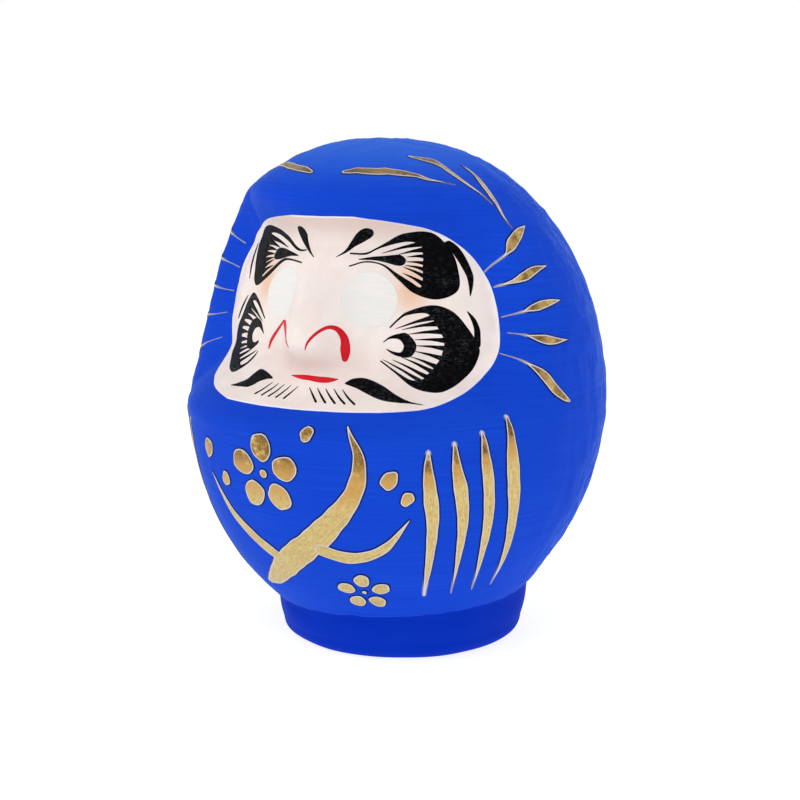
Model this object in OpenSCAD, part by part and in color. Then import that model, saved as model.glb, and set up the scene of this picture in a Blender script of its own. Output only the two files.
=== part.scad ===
// Papier-mache daruma doll: a hollow paper shell on a weighted clay foot, with its
// painted marks as thin films that lie exactly on the layer under them.
//
// Frame: the doll faces -Y, its own left side is +X, +Z is up, and the origin is the
// centre of the foot's underside.  All lengths are millimetres.
//
// A place on the skin is written [azimuth, height].  The azimuth is in degrees from the
// middle of the face, positive towards the doll's left.

/* [Body] */
// Height from the table to the crown
height = 109.6; // [108:0.2:112]
// Widest radius of the egg-shaped body
body_r = 46.3; // [45:0.1:48]
// Height of the widest level
waist_z = 55.3; // [54.5:0.1:56.5]
// How square the upper half is
crown_power = 2.1; // [2:0.05:2.3]
// Wall thickness of the paper shell
wall = 2.2; // [1.6:0.1:2.6]

/* [Face] */
// Depth of the broad hollow that holds the face
face_depth = 8.6; // [6:0.2:9.4]
// Depth of the step from the hood into the face
rim_depth = 6; // [4:0.5:7]
// How far the nose stands out of the face
nose_height = 8; // [5:0.5:9]
// Azimuth of each blank eye's centre
eye_azimuth = 22.3; // [21:0.1:24]
// Vertical radius of each blank eye
eye_r = 5.4; // [4.5:0.1:5.6]

/* [Foot] */
// Height of the foot, and of the paper shell's lower edge
foot_h = 10.5; // [10:0.5:11]
// Radius of the foot at the table
foot_r = 26.7; // [26:0.1:27.5]
// Radius of the foot at its top
foot_top_r = 28.1; // [27.8:0.1:28.8]
// How far the hand-fitted joint rises on its high side
joint_rise = 1.35; // [0:0.05:2]
// Radius of the rounded lower edge
foot_edge_r = 3.4; // [2:0.2:4]
// Radius of the card disc under the foot
card_r = 20; // [17:0.5:21]

/* [Paint] */
// Thickness of the ground colour of the face
ground_t = 0.2; // [0.15:0.05:0.3]
// Thickness of a mark on the face
ink_t = 0.15; // [0.1:0.05:0.2]
// Thickness of the gold paint
gold_t = 0.25; // [0.15:0.05:0.3]

/* [Hidden] */

BLUE = [0.07, 0.22, 0.75];
FLESH = [0.92, 0.87, 0.85];
INK = [0.06, 0.06, 0.07];
RED = [0.88, 0.12, 0.17];
GOLD = [0.78, 0.66, 0.38];
EYE_WHITE = [0.94, 0.94, 0.92];
CARD = [0.72, 0.64, 0.52];
GLUE = [0.85, 0.8, 0.62];

crown_flat = 1;        // how far the very top of the egg is pressed down
crown_flat_z = 100;    // from this level up
egg_top = height + crown_flat;
belly_lean = 0.9;      // forward shift of the egg's axis at the belly
crown_lean = 6.9;      // and at the crown
side_lean = 0.76;      // shift of the body towards the doll's right, on its foot
side_lean_h = 8;       // reached this far above the joint
belly_drop = 56.5;     // lower half-height of the egg
joint_azimuth = 120;   // high side of the joint
joint_fade = 40;       // the joint's tilt dies out over this height of the body
hollow_edge = 95;      // azimuth where the broad hollow ends
hollow_blend = 65;     // over this many degrees
rim_edge = 76;         // azimuth where the step into the face ends
rim_blend = 9;
chin_z = 59;           // middle of the ledge under the face
chin_blend = 15;
brim_z = 94.2;         // middle of the overhang above the face
brim_blend = 14;
side_start = 60;       // beyond this azimuth the ledge rises and the overhang drops
side_blend = 12;
chin_side_rise = 6.5;
chin_side_blend = 7;
brim_side_drop = 2.7;
nose_z = 70.4;
nose_half_azimuth = 8;
nose_half_height = 9;
band_top = 96;         // rings are evenly spaced up to here
ring_step = 3.6;
crown_rings = 6;
inner_start = 2.5;     // first ring of the inner wall above the lower edge
inner_step = 8;
lip_w = 1.4 * wall;    // width of the shell's level lower edge
spigot_h = 5.5;        // part of the foot that fills the shell's opening
spigot_gap = 0.8;      // between the spigot and the shell's lower edge
spigot_root = 3;       // the spigot starts this far inside the foot
spigot_wall = 5;       // the spigot is dished inside this wall
dish_depth = 7.5;
dish_slope_w = 6;
card_t = 0.8;
glue_clearance = 0.9;  // at the back; the shell's lean brings its sides nearer
glue_low = 0.6;        // levels of the bead above the shell's lower edge
glue_high = 3;
glue_sag = 0.9;
stamp_reach = 1.2;     // how far a stamp stands in and out of the skin

// ---------------------------------------------------------------- skin of the doll

function clamp01(t) = min(1, max(0, t));
function ease(t) = let (c = clamp01(t)) c * c * (3 - 2 * c);

// Radius of the plain egg about its own leaning axis
function egg_r(z) = z > waist_z
    ? body_r * pow(max(0, 1 - pow((z - waist_z) / (egg_top - waist_z), crown_power)), 1 / crown_power)
    : body_r * sqrt(max(0, 1 - pow((waist_z - z) / belly_drop, 2)));

// How far the egg's axis stands forward of the foot's
function lean(z) = ease((z - 8) / 30)
    * (belly_lean + (crown_lean - belly_lean) * clamp01((z - 50) / 60));
function sideways(z) = -side_lean * ease((z - foot_h) / side_lean_h);

// How far the tilt of the joint lifts a place near it, and the flattening lowers the crown
function joint_lift(azimuth, z) = joint_rise * cos(azimuth - joint_azimuth)
    * (1 - ease((z - foot_h) / joint_fade));
function level(azimuth, z) = z + joint_lift(azimuth, z)
    - crown_flat * pow(clamp01((z - crown_flat_z) / (egg_top - crown_flat_z)), 2);

// 1 inside the face's band of height, 0 above the brim and below the chin
function face_band(a, z) = let (
        side = ease((a - side_start) / side_blend),
        chin = (z - chin_z - chin_side_rise * side) / (chin_blend + chin_side_blend * side),
        brim = (brim_z - brim_side_drop * side - z) / brim_blend
    )
    ease(chin + 0.5) * ease(brim + 0.5);

function face_hollow(a) = face_depth * ease((hollow_edge - a) / hollow_blend)
    + rim_depth * ease((rim_edge - a) / rim_blend);

// The nose falls away faster above its tip than below it
function nose(a, z) = let (dz = (z - nose_z) / nose_half_height, du = a / nose_half_azimuth)
    nose_height * exp(-0.5 * du * du - 0.5 * pow(dz > 0 ? dz : 2 * dz, 2));

function skin_r(azimuth, z) = let (a = abs(azimuth))
    a > hollow_edge ? egg_r(z) : egg_r(z) - face_band(a, z) * (face_hollow(a) - nose(a, z));

function skin_point(azimuth, z) = let (r = skin_r(azimuth, z))
    [r * sin(azimuth) + sideways(z), -r * cos(azimuth) - lean(z), level(azimuth, z)];

function skin_normal(azimuth, z) =
    let (
        da = 0.5,
        dz = min(0.2, (egg_top - z) / 2),
        along = skin_point(azimuth + da, z) - skin_point(azimuth - da, z),
        up = skin_point(azimuth, z + dz) - skin_point(azimuth, z - dz),
        n = cross(along, up)
    )
    n / norm(n);

// A point lifted off the skin along its normal
function lifted(azimuth, z, lift) = lift == 0
    ? skin_point(azimuth, z)
    : skin_point(azimuth, z) + lift * skin_normal(azimuth, z);

// ---------------------------------------------------------------- shell meshes

// Columns stand closer together across the face and its rim than at the back
FACE_COLUMNS = [for (a = [-81:5.4:81]) a];
BACK_COLUMNS = [for (a = [90:15:270]) a];
COLUMNS = concat(FACE_COLUMNS, BACK_COLUMNS);
columns = len(COLUMNS);

OUTER_RINGS = concat(
    [for (z = [foot_h:ring_step:band_top]) z],
    [for (k = [1:crown_rings - 1]) band_top + (egg_top - band_top) * sin(90 * k / crown_rings)]
);
INNER_RINGS = concat(
    [for (z = [foot_h + inner_start:inner_step:band_top - 4]) z],
    [for (k = [0:2]) band_top + (egg_top - band_top) * sin(30 * k)]
);

function ring(z, lift) = [for (a = COLUMNS) lifted(a, z, lift)];

// The crown is one point, where the normal is vertical
function crown(lift) = [sideways(egg_top), -lean(egg_top), height + lift];

// Ring of the shell's lower inner edge, in one plane with its outer edge
function inner_edge() = [for (a = COLUMNS)
    let (outer_r = skin_r(a, foot_h), r = outer_r - lip_w)
    [r * sin(a), -r * cos(a) - lean(foot_h), foot_h + joint_lift(a, foot_h) * r / outer_r]];

function ring_walls(first, count) = [for (i = [0:count - 2], j = [0:columns - 1])
    let (k = (j + 1) % columns, a = first + i * columns, b = a + columns)
    each [[a + j, b + k, a + k], [a + j, b + j, b + k]]];

function cap_fan(first, tip) = [for (j = [0:columns - 1]) [first + j, tip, first + (j + 1) % columns]];

// Closed solid bounded by the skin, lifted by lift, above the foot
module skin_solid(lift) {
    rings = [for (z = OUTER_RINGS) ring(z, lift)];
    count = len(rings);
    floor_tip = count * columns + 1;
    points = concat([for (r = rings) each r], [crown(lift)], [[0, 0, foot_h - 2 * lift]]);
    top = cap_fan((count - 1) * columns, count * columns);
    bottom = [for (j = [0:columns - 1]) [(j + 1) % columns, floor_tip, j]];
    polyhedron(points, concat(ring_walls(0, count), top, bottom));
}

module paper_shell() {
    outer = [for (z = OUTER_RINGS) ring(z, 0)];
    inner = concat([inner_edge()], [for (z = INNER_RINGS) ring(z, -wall)]);
    n_out = len(outer);
    n_in = len(inner);
    first_in = n_out * columns + 1;
    tip_in = first_in + n_in * columns;
    points = concat([for (r = outer) each r], [crown(0)], [for (r = inner) each r], [crown(-wall)]);
    inner_faces = concat(ring_walls(first_in, n_in), cap_fan(first_in + (n_in - 1) * columns, tip_in));
    rim = [for (j = [0:columns - 1]) let (k = (j + 1) % columns)
        each [[j, k, first_in + k], [j, first_in + k, first_in + j]]];
    faces = concat(
        ring_walls(0, n_out),
        cap_fan((n_out - 1) * columns, n_out * columns),
        [for (f = inner_faces) [f[2], f[1], f[0]]],
        rim
    );
    color(BLUE) polyhedron(points, faces);
}

// ---------------------------------------------------------------- paint

// Catmull-Rom curve through rows of numbers
function curve_point(p, i, t) = let (
        a = p[max(0, i - 1)], b = p[i], c = p[i + 1], d = p[min(len(p) - 1, i + 2)]
    )
    0.5 * (2 * b + (c - a) * t + (2 * a - 5 * b + 4 * c - d) * t * t + (3 * b - a - 3 * c + d) * t * t * t);
function curve(p, steps) = concat(
    [for (i = [0:len(p) - 2], k = [0:steps - 1]) curve_point(p, i, k / steps)],
    [p[len(p) - 1]]
);

// Millimetres on the skin for a degree of azimuth, and for a millimetre of height
function across_scale(p) = skin_r(p[0], p[1]) * PI / 180;
function up_scale(p) = let (dz = min(0.3, (egg_top - p[1]) / 2))
    norm(skin_point(p[0], p[1] + dz) - skin_point(p[0], p[1] - dz)) / (2 * dz);

// Both edges of a brush stroke whose rows are [azimuth, height, width]
function stroke_edges(rows, steps = 2) =
    let (p = curve(rows, steps), last = len(p) - 1)
    [for (i = [0:last])
        let (
            a = p[max(0, i - 1)], b = p[min(last, i + 1)],
            ku = across_scale(p[i]), kv = up_scale(p[i]),
            du = (b[0] - a[0]) * ku, dv = (b[1] - a[1]) * kv,
            half = max(0.06, p[i][2] / 2) / norm([du, dv])
        )
        [
            p[i][0] - dv * half / ku, p[i][1] + du * half / kv,
            p[i][0] + dv * half / ku, p[i][1] - du * half / kv
        ]
    ];

// A stamp is a thick patch across the skin.  Its rows are [azimuth, height, azimuth, height],
// one edge and then the other.  With $side at -1 it is on the doll's right instead.
$side = 1;
module stamp(rows, lanes = 2) {
    n = len(rows);
    m = lanes + 1;
    flat = [for (r = rows, j = [0:lanes]) let (t = j / lanes)
        [r[0] + (r[2] - r[0]) * t, r[1] + (r[3] - r[1]) * t]];
    points = concat(
        [for (p = flat) lifted($side * p[0], p[1], stamp_reach)],
        [for (p = flat) lifted($side * p[0], p[1], -stamp_reach)]
    );
    low = n * m;
    top = [for (i = [0:n - 2], j = [0:lanes - 1]) let (a = i * m + j)
        each [[a, a + m, a + m + 1], [a, a + m + 1, a + 1]]];
    bottom = [for (f = top) [f[2] + low, f[1] + low, f[0] + low]];
    rim = concat(
        [for (i = [0:n - 2]) [i * m, (i + 1) * m]],
        [for (j = [0:lanes - 1]) [(n - 1) * m + j, (n - 1) * m + j + 1]],
        [for (i = [n - 1:-1:1]) [i * m + lanes, (i - 1) * m + lanes]],
        [for (j = [lanes:-1:1]) [j, j - 1]]
    );
    sides = [for (e = rim) each [[e[1], e[0], e[0] + low], [e[1], e[0] + low, e[1] + low]]];
    faces = concat(top, bottom, sides);
    polyhedron(points, $side > 0 ? faces : [for (f = faces) [f[2], f[1], f[0]]]);
}

module stroke(rows, steps = 2, lanes = 1) {
    stamp(stroke_edges(rows, steps), lanes);
}

// An oval dab [azimuth, height] with radii in millimetres, turned by an angle
module dab(place, long_r, short_r, turn = 0, sides = 10) {
    ku = across_scale(place);
    kv = up_scale(place);
    half = sides / 2;
    rows = [for (i = [0:half])
        let (
            t = -90 + 180 * (i + 0.5) / (half + 1),
            u = long_r * sin(t), v = short_r * cos(t),
            a = [u * cos(turn) - v * sin(turn), u * sin(turn) + v * cos(turn)],
            b = [u * cos(turn) + v * sin(turn), u * sin(turn) - v * cos(turn)]
        )
        [place[0] + a[0] / ku, place[1] + a[1] / kv, place[0] + b[0] / ku, place[1] + b[1] / kv]
    ];
    stamp(rows, 2);
}

// The stamps cut a film out of the layer between two lifts of the skin.  The resize keeps
// its size and only asks for one triangle mesh, so films and skin share their facets.
module paint(under, thickness) {
    resize([0, 0, 0]) intersection() {
        union() children();
        difference() {
            skin_solid(under + thickness);
            skin_solid(under);
        }
    }
}

// ---------------------------------------------------------------- foot

spigot_r = egg_r(foot_h) - lip_w - spigot_gap;

// Turns its children, drawn about the level joint, into the joint's own tilted plane
module tilted() {
    translate([0, 0, foot_h])
        rotate(a = atan(joint_rise / foot_top_r), v = [-cos(joint_azimuth), -sin(joint_azimuth), 0])
            children();
}

// Foot with a rounded lower edge and a side that leans out, cut off in the joint's plane
module foot_block() {
    over = 2 * joint_rise + 0.5;
    corner = [for (t = [0:15:90])
        [foot_r - foot_edge_r * (1 - sin(t)), foot_edge_r * (1 - cos(t))]];
    side_slope = (foot_top_r - foot_r) / (foot_h - foot_edge_r);
    difference() {
        rotate_extrude($fn = 96) polygon(concat(
            [[0, card_t], [card_r, card_t], [card_r, 0]],
            corner,
            [[foot_top_r + side_slope * over, foot_h + over], [0, foot_h + over]]
        ));
        tilted() cylinder(h = 4 * over, r = 2 * foot_r);
    }
}

module clay_base() {
    dish_r = spigot_r - spigot_wall;
    color(BLUE) difference() {
        union() {
            foot_block();
            tilted() translate([0, 0, -spigot_root])
                cylinder(h = spigot_h + spigot_root, r = spigot_r, $fn = 96);
        }
        tilted() translate([0, 0, spigot_h - dish_depth])
            cylinder(h = dish_depth + 1, r1 = dish_r - dish_slope_w, r2 = dish_r, $fn = 96);
    }
}

// Radius of the shell's inner wall this far above its lower edge, taken at the back
function inner_wall_r(up) = let (
        low = skin_point(180, foot_h),
        above = lifted(180, foot_h + inner_start, -wall)
    )
    lookup(up, [[0, low[1] - lip_w], [above[2] - low[2], above[1]]]);

// Fillet of glue that fills the groove between the spigot and the shell's inner wall
module base_glue() {
    color(GLUE) tilted() rotate_extrude($fn = 96) polygon([
        [spigot_r, glue_low], [inner_wall_r(glue_low) - glue_clearance, glue_low],
        [inner_wall_r(glue_high) - glue_clearance, glue_high],
        [spigot_r + glue_sag, glue_high - glue_sag], [spigot_r, glue_high]
    ]);
}

module bottom_card() {
    color(CARD) cylinder(h = card_t, r = card_r, $fn = 96);
}

// ---------------------------------------------------------------- face

// Outline of the face from its chin to the brim, as [azimuth on the doll's right, height,
// azimuth on its left, height]; the hand-painted edge is not quite the same on both sides
FACE_OUTLINE = [
    [26, 56.7, 26, 57.2], [38, 57.5, 38, 57.7], [45, 58.4, 47, 59.2], [51, 59.7, 54.5, 61.1],
    [58.5, 63, 61.6, 63.9], [64, 67.3, 66, 68], [67.4, 72, 68, 72.4], [68.1, 77.5, 68.5, 78],
    [68.5, 82.5, 68, 82.5], [67, 86.9, 65.5, 86.5], [61.5, 90, 59, 89.8], [49, 92.2, 48, 92.2],
    [33, 93.5, 33, 93.6], [16, 94.5, 16, 94.8]
];

module face_panel() {
    color(FLESH) paint(0, ground_t)
        stamp([for (p = FACE_OUTLINE) [-p[0], p[1], p[2], p[3]]], 20);
}

// The left eye is a little nearer the nose, narrower and taller than the right one
EYE_Z = 78.2;
EYE_IN = 0.4;
EYE_HALF_W_LEFT = 5.5;
EYE_HALF_W_RIGHT = 6.2;
EYE_TALLER = 0.4;
module eye(side) {
    $side = side;
    azimuth = eye_azimuth + by_side(-EYE_IN, EYE_IN);
    color(EYE_WHITE) paint(ground_t, ink_t)
        dab([azimuth, EYE_Z], by_side(EYE_HALF_W_LEFT, EYE_HALF_W_RIGHT),
            eye_r + by_side(EYE_TALLER, 0), 0, 24);
}

// The marks are painted by hand, so most have stations of their own on the doll's right
function by_side(left, right) = $side > 0 ? left : right;

// Eyebrow: its mass runs from the thin upper tail round to the thin lower tail, as
// [outer azimuth, outer height, inner azimuth, inner height]
BROW_MASS_LEFT = [
    [11.5, 87.3, 11.5, 87], [19, 87.3, 19, 86.9], [24, 88.2, 24, 87.8], [29, 89.3, 28.5, 88.5],
    [37.9, 91.3, 38.8, 89.5], [50, 91.5, 45.3, 89], [57.8, 88, 46, 87], [58.6, 83.4, 45, 84.6],
    [56.5, 79.8, 44, 81.8], [48.5, 78.2, 42.5, 80.6], [40, 79.4, 39, 81.7], [34, 82, 33, 83.5],
    [27.5, 84.7, 27.5, 85.1], [19.5, 85.4, 19.5, 85.7], [12, 84.5, 12, 84.8]
];
BROW_MASS_RIGHT = [
    [13.8, 87.4, 13.8, 87.1], [18.2, 87.2, 18, 86.8], [24.4, 87.9, 23.4, 87.1], [32, 89.8, 34, 88.7],
    [39, 91, 41, 89.6], [47.5, 91.3, 47.4, 89.6], [56, 90, 50.2, 88.4], [59.4, 87.6, 49.6, 86.9],
    [56.6, 84.8, 48, 85.1], [53.4, 82, 46.4, 82.9], [50.4, 79.3, 45, 80.8], [46.4, 78.4, 43.4, 80.6],
    [39.4, 80.6, 39.6, 82], [31.4, 83.8, 32.4, 84.5], [25.5, 84.7, 26, 85.1], [13.8, 84.5, 13.9, 84.8]
];
BROW_CRESCENT_LEFT = [
    [56, 89.5, 1.4], [60.1, 87.6, 1.9], [62.2, 83.6, 1.5], [62, 81.4, 1], [60.7, 78.8, 0.2]
];
BROW_CRESCENT_RIGHT = [[60.6, 86.8, 0.4], [59.4, 84.6, 0.9], [57.4, 82, 0.8], [55.3, 79.3, 0.2]];
BROW_PUPIL_LEFT = [
    [16, 86, 0.2], [23, 86.2, 0.8], [28.5, 86.1, 1.4], [33.7, 85.9, 2.3], [36.1, 85.9, 2.2], [38.2, 86, 0.9]
];
BROW_PUPIL_RIGHT = [
    [18.9, 85.9, 0.2], [25.2, 86, 1], [32, 85.8, 2.2], [36.6, 85.6, 2.7], [39.2, 85.5, 2.3], [40.6, 85.5, 1]
];
// Each lash is [root, tip], from the mass inwards; the widths are at the root
LASH_W = 0.75;
LASH_W_RIGHT = 1.2;
BROW_LASHES_LEFT = [
    [[46, 89.1], [27, 87.2]], [[47, 87.9], [35, 87]], [[47.5, 86.6], [38.5, 86.5]],
    [[47, 85.2], [38, 85.6]], [[46, 84], [37.5, 84.9]], [[45.5, 82.6], [36.5, 84.6]],
    [[44, 81.3], [36, 83.4]]
];
BROW_LASHES_RIGHT = [
    [[51, 88.8], [30.5, 87.1]], [[51, 87.6], [38.1, 86.8]], [[50, 86.2], [39.8, 86.2]],
    [[49, 84.9], [40.2, 85.4]], [[47.6, 83.6], [39.7, 84.7]], [[46.6, 82.3], [39, 84.3]],
    [[45.6, 81.2], [38.1, 83.1]]
];

BEARD_MASS_LEFT = [
    [29, 72.7, 29.5, 72.5], [33, 74.6, 33, 74.1], [37, 75.9, 36.5, 75.1], [46.5, 77.1, 44, 75.4],
    [53.5, 75.8, 47, 73], [57.8, 72.4, 49, 70], [60.4, 68.8, 48, 67.6], [60.2, 66.9, 46.6, 66],
    [57.6, 64.5, 44.6, 64.8], [53, 62.5, 42.8, 63.9], [47.5, 60.9, 41, 63.2], [42.5, 60.3, 39.5, 62.6],
    [36, 61.2, 35.5, 62.5], [30.5, 63.6, 30.5, 64.1], [25, 65.8, 25.2, 66.1]
];
BEARD_MASS_RIGHT = [
    [33.5, 72.2, 34, 72], [39.6, 74.8, 40.4, 74.2], [44, 76.2, 44.3, 75.2], [48, 76.8, 46.6, 75],
    [51, 75, 48, 73.5], [53.6, 71.8, 50.4, 71.2], [56.4, 69, 52, 68.9], [57.4, 66.7, 52, 66.9],
    [56.6, 65, 51, 65], [54.4, 63.4, 49.2, 64.1], [50, 62.1, 46, 63.2], [44.4, 60.9, 42.4, 62.5],
    [38.4, 60.5, 39, 61.9], [35.8, 62.1, 37, 62.6], [35.2, 63.6, 36.4, 63.9], [35.3, 65, 35.6, 65.1]
];
BEARD_CRESCENT_LEFT = [
    [58.5, 75.8, 0.2], [60, 74.2, 0.9], [60.7, 72.3, 1.2], [60.4, 70.4, 1.3], [59.8, 68.4, 1.4]
];
BEARD_CRESCENT_RIGHT = [[52.2, 76, 0.2], [54.4, 74.2, 0.7], [56.2, 72.3, 0.8], [57.6, 70.3, 0.5]];
BEARD_PUPIL_LEFT = [
    [26.5, 69.8, 26.6, 69.6], [29, 70.8, 28.8, 70.3], [32.5, 71.4, 31.5, 70.4], [36, 71.4, 33.2, 70],
    [39, 69, 34.2, 68.9], [36.3, 66.7, 33, 67.7], [31, 67, 30.3, 67.8], [27.5, 68.2, 27.6, 68.4]
];
BEARD_PUPIL_RIGHT = [
    [33, 69, 33.1, 68.8], [36, 71.1, 36.7, 69.9], [40.3, 71.8, 38.9, 69.9], [44.4, 70.8, 41, 69.3],
    [46.8, 68.1, 42.5, 67.9], [46.2, 65.5, 41.6, 66.7], [41.5, 65, 39.7, 66.6], [36.7, 66.8, 37.1, 67.3]
];
BEARD_LASHES_LEFT = [
    [[46, 74.6], [31.5, 72.4]], [[47, 73.4], [34, 72.2]], [[48.5, 71.8], [36, 71.3]],
    [[49.5, 70], [38.5, 70.2]], [[49, 68.4], [38.5, 69]], [[47.5, 66.4], [38, 67.9]],
    [[45, 64.8], [36.5, 66.8]], [[43, 64], [33, 66.7]], [[41, 63], [29.5, 66.2]], [[39, 62.2], [26, 66.2]]
];
BEARD_LASHES_RIGHT = [
    [[48, 74.4], [35.4, 71.4]], [[49.4, 73], [39, 71.6]], [[51, 71.6], [40.8, 70.7]],
    [[53, 69.8], [43.6, 69.5]], [[53.6, 67.9], [45, 68.3]], [[53.4, 66], [44.6, 66.9]],
    [[51.8, 64.7], [43.6, 66]], [[49.4, 63.7], [42.2, 65.6]], [[46, 62.9], [39.9, 65.4]],
    [[43, 62.1], [36.5, 65.2]]
];

module lashes(pairs, root_w) {
    for (p = pairs) {
        root = p[0];
        tip = p[1];
        start = root + (root - tip) * 0.14;
        neck = root + (tip - root) * 0.22;
        middle = (root + tip) / 2;
        stroke([
            [start[0], start[1], root_w * 1.8],
            [neck[0], neck[1] + 0.1, root_w],
            [middle[0], middle[1] + 0.15, root_w * 0.6],
            [tip[0], tip[1], 0.15]
        ], 1);
    }
}

module brow(side) {
    $side = side;
    color(INK) paint(ground_t, ink_t) {
        stamp(by_side(BROW_MASS_LEFT, BROW_MASS_RIGHT), 3);
        stroke(by_side(BROW_CRESCENT_LEFT, BROW_CRESCENT_RIGHT));
        stroke(by_side(BROW_PUPIL_LEFT, BROW_PUPIL_RIGHT), 1);
        lashes(by_side(BROW_LASHES_LEFT, BROW_LASHES_RIGHT), by_side(LASH_W, LASH_W_RIGHT));
    }
}

module beard(side) {
    $side = side;
    color(INK) paint(ground_t, ink_t) {
        stamp(by_side(BEARD_MASS_LEFT, BEARD_MASS_RIGHT), 3);
        stroke(by_side(BEARD_CRESCENT_LEFT, BEARD_CRESCENT_RIGHT));
        stamp(by_side(BEARD_PUPIL_LEFT, BEARD_PUPIL_RIGHT), 1);
        lashes(by_side(BEARD_LASHES_LEFT, BEARD_LASHES_RIGHT), by_side(LASH_W, LASH_W_RIGHT));
    }
}

DROP_LEFT = [
    [5.5, 86.4, 0.15], [9.5, 87.5, 0.6], [13, 89, 1.3], [17.5, 90.5, 2.4], [21, 91.5, 2.6], [23.4, 92.1, 1.2]
];
DROP_RIGHT = [
    [6.3, 86.1, 0.2], [10.8, 87.1, 0.6], [14.4, 88.3, 1.3],
    [16, 89.5, 2.3], [15.9, 90.8, 2.7], [14.6, 92.2, 1.6]
];
module temple_drop(side) {
    $side = side;
    color(INK) paint(ground_t, ink_t) stroke(by_side(DROP_LEFT, DROP_RIGHT));
}

// Leaf-shaped stroke at the corner of the chin
MOUSTACHE_LEFT = [
    [13.5, 61.8, 13.6, 61.6], [16, 62.6, 17.5, 61], [20.5, 62.7, 21, 60.2], [26, 61.6, 25.5, 59.2],
    [30, 60.2, 30, 58.8], [34, 59, 34, 58.6], [38, 58.4, 38, 58.3]
];
MOUSTACHE_RIGHT = [
    [14.8, 61.4, 14.9, 61.2], [20, 62.1, 17.2, 61], [24.8, 62.3, 19.4, 60.4], [26, 61.4, 20.8, 59.6],
    [26.4, 60.3, 22.6, 59.1], [28.2, 59.5, 26, 58.9], [31, 58.7, 30.8, 58.6]
];
module moustache(side) {
    $side = side;
    color(INK) paint(ground_t, ink_t) stamp(by_side(MOUSTACHE_LEFT, MOUSTACHE_RIGHT), 1);
}

// Five short hairs each side, slanting outwards and less so on the doll's right
module chin_hairs(side) {
    $side = side;
    slant = by_side(4.6, 2.6);
    color(INK) paint(ground_t, ink_t) for (i = [0:4]) {
        top = 2.1 + 2.8 * i;
        stroke([
            [top, 60.7, 0.2], [top + slant / 2, 59.5, 0.4], [top + slant + 0.15 * i, 58.3, 0.5]
        ], 1);
    }
}

module nostril_left() {
    color(RED) paint(ground_t, ink_t) stroke([
        [2.1, 68.5, 0.2], [3.6, 70.6, 0.5], [5.8, 72.2, 0.6], [8.4, 73, 0.75], [11, 72.3, 0.95],
        [12.8, 70.4, 1.4], [12.9, 68, 1.7], [12.3, 65.7, 0.9]
    ]);
}

module nostril_right() {
    color(RED) paint(ground_t, ink_t) {
        stroke([[-28, 66, 0.5], [-26.2, 68, 1], [-22, 70.4, 0.9], [-17.2, 72.8, 0.6]]);
        stroke([[-17, 72.9, 0.9], [-14.4, 71.8, 1.7], [-9.4, 70.2, 1.6], [-5.4, 68.4, 0.3]]);
    }
}

module lips() {
    color(RED) paint(ground_t, ink_t) stroke([
        [-7, 62.4, 0.2], [-3.5, 62.4, 0.8], [0.5, 62.4, 1.05],
        [4.5, 62.2, 1.3], [8, 62.2, 1.2], [11, 62.4, 0.2]
    ]);
}

// ---------------------------------------------------------------- gold

HEAD_FRONT_LEFT = [
    [7.8, 104, 1.3], [17.5, 104.2, 2.5], [38, 103.9, 2.5], [54, 102.1, 0.9], [62.5, 101.2, 0.25]
];
HEAD_FRONT_RIGHT = [
    [8.2, 103.7, 1.2], [15.4, 104.1, 2.2], [26, 104.4, 2.4], [41, 104.6, 2.2], [60, 104.1, 0.4]
];
HEAD_STROKES = [
    [[46.8, 107.4, 0.8], [56.5, 106.5, 2], [63, 105, 2.2], [71, 99.9, 1], [74.2, 97.1, 0.3]],
    [[79.9, 105.4, 0.5], [80.2, 103.3, 1.3], [77.2, 100.3, 1.7], [75.7, 94.9, 1], [77.6, 92.3, 0.25]]
];

CHEEK_STROKES_LEFT = [
    [[66.1, 82.2, 0.25], [69.8, 84.8, 0.3], [73, 87.3, 0.7],
        [75.8, 89.9, 2.7], [80.3, 91.6, 2.3], [84.9, 92.8, 0.4]],
    [[68.8, 80.4, 0.25], [72.8, 81.8, 1.2], [76.2, 83.2, 2.3], [80.6, 84.2, 1.9], [85.5, 84.6, 0.5]],
    [[68.8, 74.4, 0.25], [72.3, 75.6, 0.5], [75.8, 76.8, 2.1], [80.7, 77.4, 1.9], [85.6, 77.6, 0.4]],
    [[69, 71.4, 0.25], [71.5, 71.2, 0.5], [75, 70.4, 2.4], [79.4, 69.8, 2], [84.9, 69.6, 0.4]],
    [[65.7, 67.4, 0.3], [69.3, 66.2, 0.5], [72.4, 63.8, 2.2],
        [75, 60.6, 2.7], [78.1, 58.4, 2.2], [81, 57, 0.8]]
];
CHEEK_STROKES_RIGHT = [
    [[69.8, 86.1, 0.25], [73.4, 87.8, 0.4], [78.4, 89.8, 2.2], [83, 91.5, 2.1], [87.4, 92.6, 0.4]],
    [[69.2, 80.8, 0.25], [73, 82, 0.4], [78, 83.2, 2], [83.2, 84.3, 1.8], [88.2, 84.7, 0.4]],
    [[69, 75.6, 0.25], [72.8, 75.9, 0.4], [78, 76.7, 2], [83.2, 77.4, 1.8], [88.4, 77.7, 0.4]],
    [[68.8, 70.8, 0.25], [72.6, 69.8, 0.45], [77.8, 69.3, 2.1], [82.4, 69, 1.8], [87.6, 68.9, 0.4]],
    [[65.7, 65.5, 0.25], [69.4, 63.8, 0.4], [74.2, 61, 1.8],
        [77.8, 59, 2.4], [81, 57.5, 1.8], [84, 56.4, 0.6]]
];

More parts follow.
